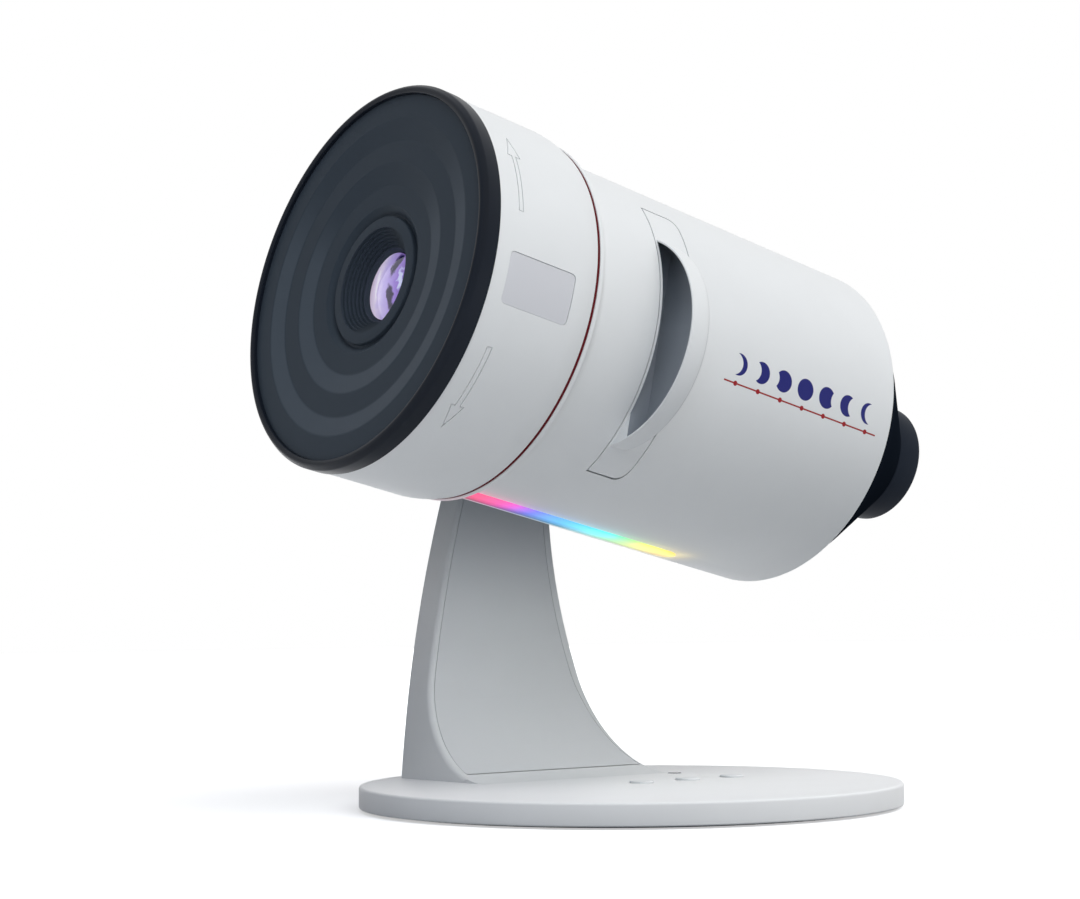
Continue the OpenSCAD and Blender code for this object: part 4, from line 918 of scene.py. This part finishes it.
# %% Each inside piece and its finish
INSIDE = {
    zinc_steel: ("ballast_plate base_screws arm_screws tilt_shaft tilt_shaft_screws rear_screws tilt_nut "
                 "follower_pins disc_keeper knob_shaft"),
    spring_steel: "spring_washer ring_keeper",
    bronze: "pivot_bush",
    aluminium: "heat_sink",
    motor_steel: "drive_motor dial_encoder",
    black_polyamide: ("front_bulkhead guide_tube disc_bay condenser_holder rear_bulkhead cam_sleeve lens_cell "
                      "lens_spacer lens_retaining_ring drawer_frame button_switches power_inlet"),
    grey_acetal: "disc_gear",
    white_acetal: "drive_pinion",
    ptfe: "friction_washer",
    mat_rubber: "rubber_mat",
    cable_pvc: "arm_ribbon_cable",
    cover_abs: "base_plate",
    solder_mask: "control_board led_board main_board light_strip",
    star_film: "star_disc",
    lens_crown: "rear_lens condenser_lens",
}
dressed = set()
for material, names in INSIDE.items():
    for name in names.split():
        mesh = frame["nodes"][name].data
        mesh.materials.clear()
        mesh.materials.append(material)
        dressed.add(name)
stood_for = {name for piece in bpy.data.objects for name in piece.get("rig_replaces", [])}
print("inside pieces:", len(dressed), "without a finish:", sorted(set(frame["nodes"]) - dressed - stood_for))

# %% [markdown]
# ## Floor and world
#
# The photograph was taken against plain white with very soft light. What the camera sees behind the projector is
# white, while the light on it comes from a dark sky with wide soft patches of light in it, as from large
# softboxes: two high on the right, one on the camera's side, one behind and a weak one on the left.

# %% Floor
bpy.ops.object.select_all(action="DESELECT")
bpy.ops.mesh.primitive_plane_add(size=12, location=(0, 0, -0.0002))
floor = bpy.context.active_object
floor.name = "floor"
floor_material, tree, shader = new_material("floor_white_paper", Roughness=0.9, Specular_IOR_Level=0.1)
paths = add_node(tree, "ShaderNodeLightPath").outputs


def seen_directly(tree, paths):
    """One for what the camera sees, also in a reflection or through glass, and none for soft light."""
    seen = add_node(tree, "ShaderNodeMath", {"operation": "MAXIMUM"}, _0=paths["Is Camera Ray"],
                    _1=paths["Is Glossy Ray"]).outputs["Value"]
    return add_node(tree, "ShaderNodeMath", {"operation": "MAXIMUM"}, _0=seen,
                    _1=paths["Is Transmission Ray"]).outputs["Value"]


seen = seen_directly(tree, paths)
where = add_node(tree, "ShaderNodeTexCoord").outputs["Object"]
reach = add_node(tree, "ShaderNodeVectorMath", {"operation": "LENGTH"}, _0=where).outputs["Value"]
far = add_node(tree, "ShaderNodeMapRange", {"interpolation_type": "SMOOTHSTEP"}, Value=reach, From_Min=0.1,
               From_Max=0.6).outputs["Result"]
# Painted light on the floor, for soft light only: dark near the projector, lighter far off, and light in a band in
# front of it.
ahead = smooth_range(tree, add_node(tree, "ShaderNodeSeparateXYZ", Vector=where).outputs["Y"], -0.04, -0.12)
bounce = mix(tree, ahead, ramp(tree, far, [(0.0, hex_colour("#565C64")), (1.0, hex_colour("#B4B8BE"))]),
             hex_colour("#E4E6E8"))
paper = add_node(tree, "ShaderNodeMix", {"data_type": "RGBA"}, Factor=seen, _6=bounce, _7=hex_colour("#F2F3F5"))
tree.links.new(paper.outputs[2], shader.inputs["Base Color"])
glow = add_node(tree, "ShaderNodeMapRange", Value=far, To_Min=0.5, To_Max=1.0).outputs["Result"]
tree.links.new(add_node(tree, "ShaderNodeMath", {"operation": "MULTIPLY"}, _0=seen, _1=glow).outputs["Value"],
               shader.inputs["Emission Strength"])
shader.inputs["Emission Color"].default_value = (1, 1, 1, 1)
floor.data.materials.append(floor_material)

# %% World
world = bpy.data.worlds.new("studio")
bpy.context.scene.world = world
world.use_nodes = True
tree = world.node_tree
tree.nodes.clear()
seen = seen_directly(tree, add_node(tree, "ShaderNodeLightPath").outputs)
direction = add_node(tree, "ShaderNodeTexCoord").outputs["Generated"]
SKY = [  # direction, how narrow, strength of red, green and blue
    ((0.85, 0.1, 0.5), 6, (1.36, 1.36, 1.3)),
    ((0.6, 0.0, 0.8), 12, (2.75, 2.65, 2.55)),
    ((0.62, -0.45, 0.64), 10, (0.65, 0.8, 1.0)),
    ((0.2, 0.7, 0.7), 8, (0.95, 0.95, 1.0)),
    ((-0.85, -0.1, 0.5), 10, (0.9, 0.9, 0.95)),
]
sky = (0, 0, 0)
for side, narrow, strength in SKY:
    toward = add_node(tree, "ShaderNodeVectorMath", {"operation": "DOT_PRODUCT"}, _0=direction,
                      _1=Vector(side).normalized()).outputs["Value"]
    lobe = maths(tree, "POWER", maths(tree, "MAXIMUM", toward, 0.0), narrow)
    coloured = add_node(tree, "ShaderNodeVectorMath", {"operation": "SCALE"}, _0=strength, Scale=lobe).outputs["Vector"]
    sky = add_node(tree, "ShaderNodeVectorMath", {"operation": "ADD"}, _0=coloured, _1=sky).outputs["Vector"]
light = add_node(tree, "ShaderNodeBackground", Color=sky, Strength=1.0).outputs["Background"]
white = add_node(tree, "ShaderNodeBackground", Color=(1, 1, 1, 1), Strength=1.0).outputs["Background"]
mixed = add_node(tree, "ShaderNodeMixShader", Fac=seen, _1=light, _2=white).outputs["Shader"]
add_node(tree, "ShaderNodeOutputWorld", Surface=mixed)

# %% View
bpy.context.scene.view_settings.view_transform = "Standard"
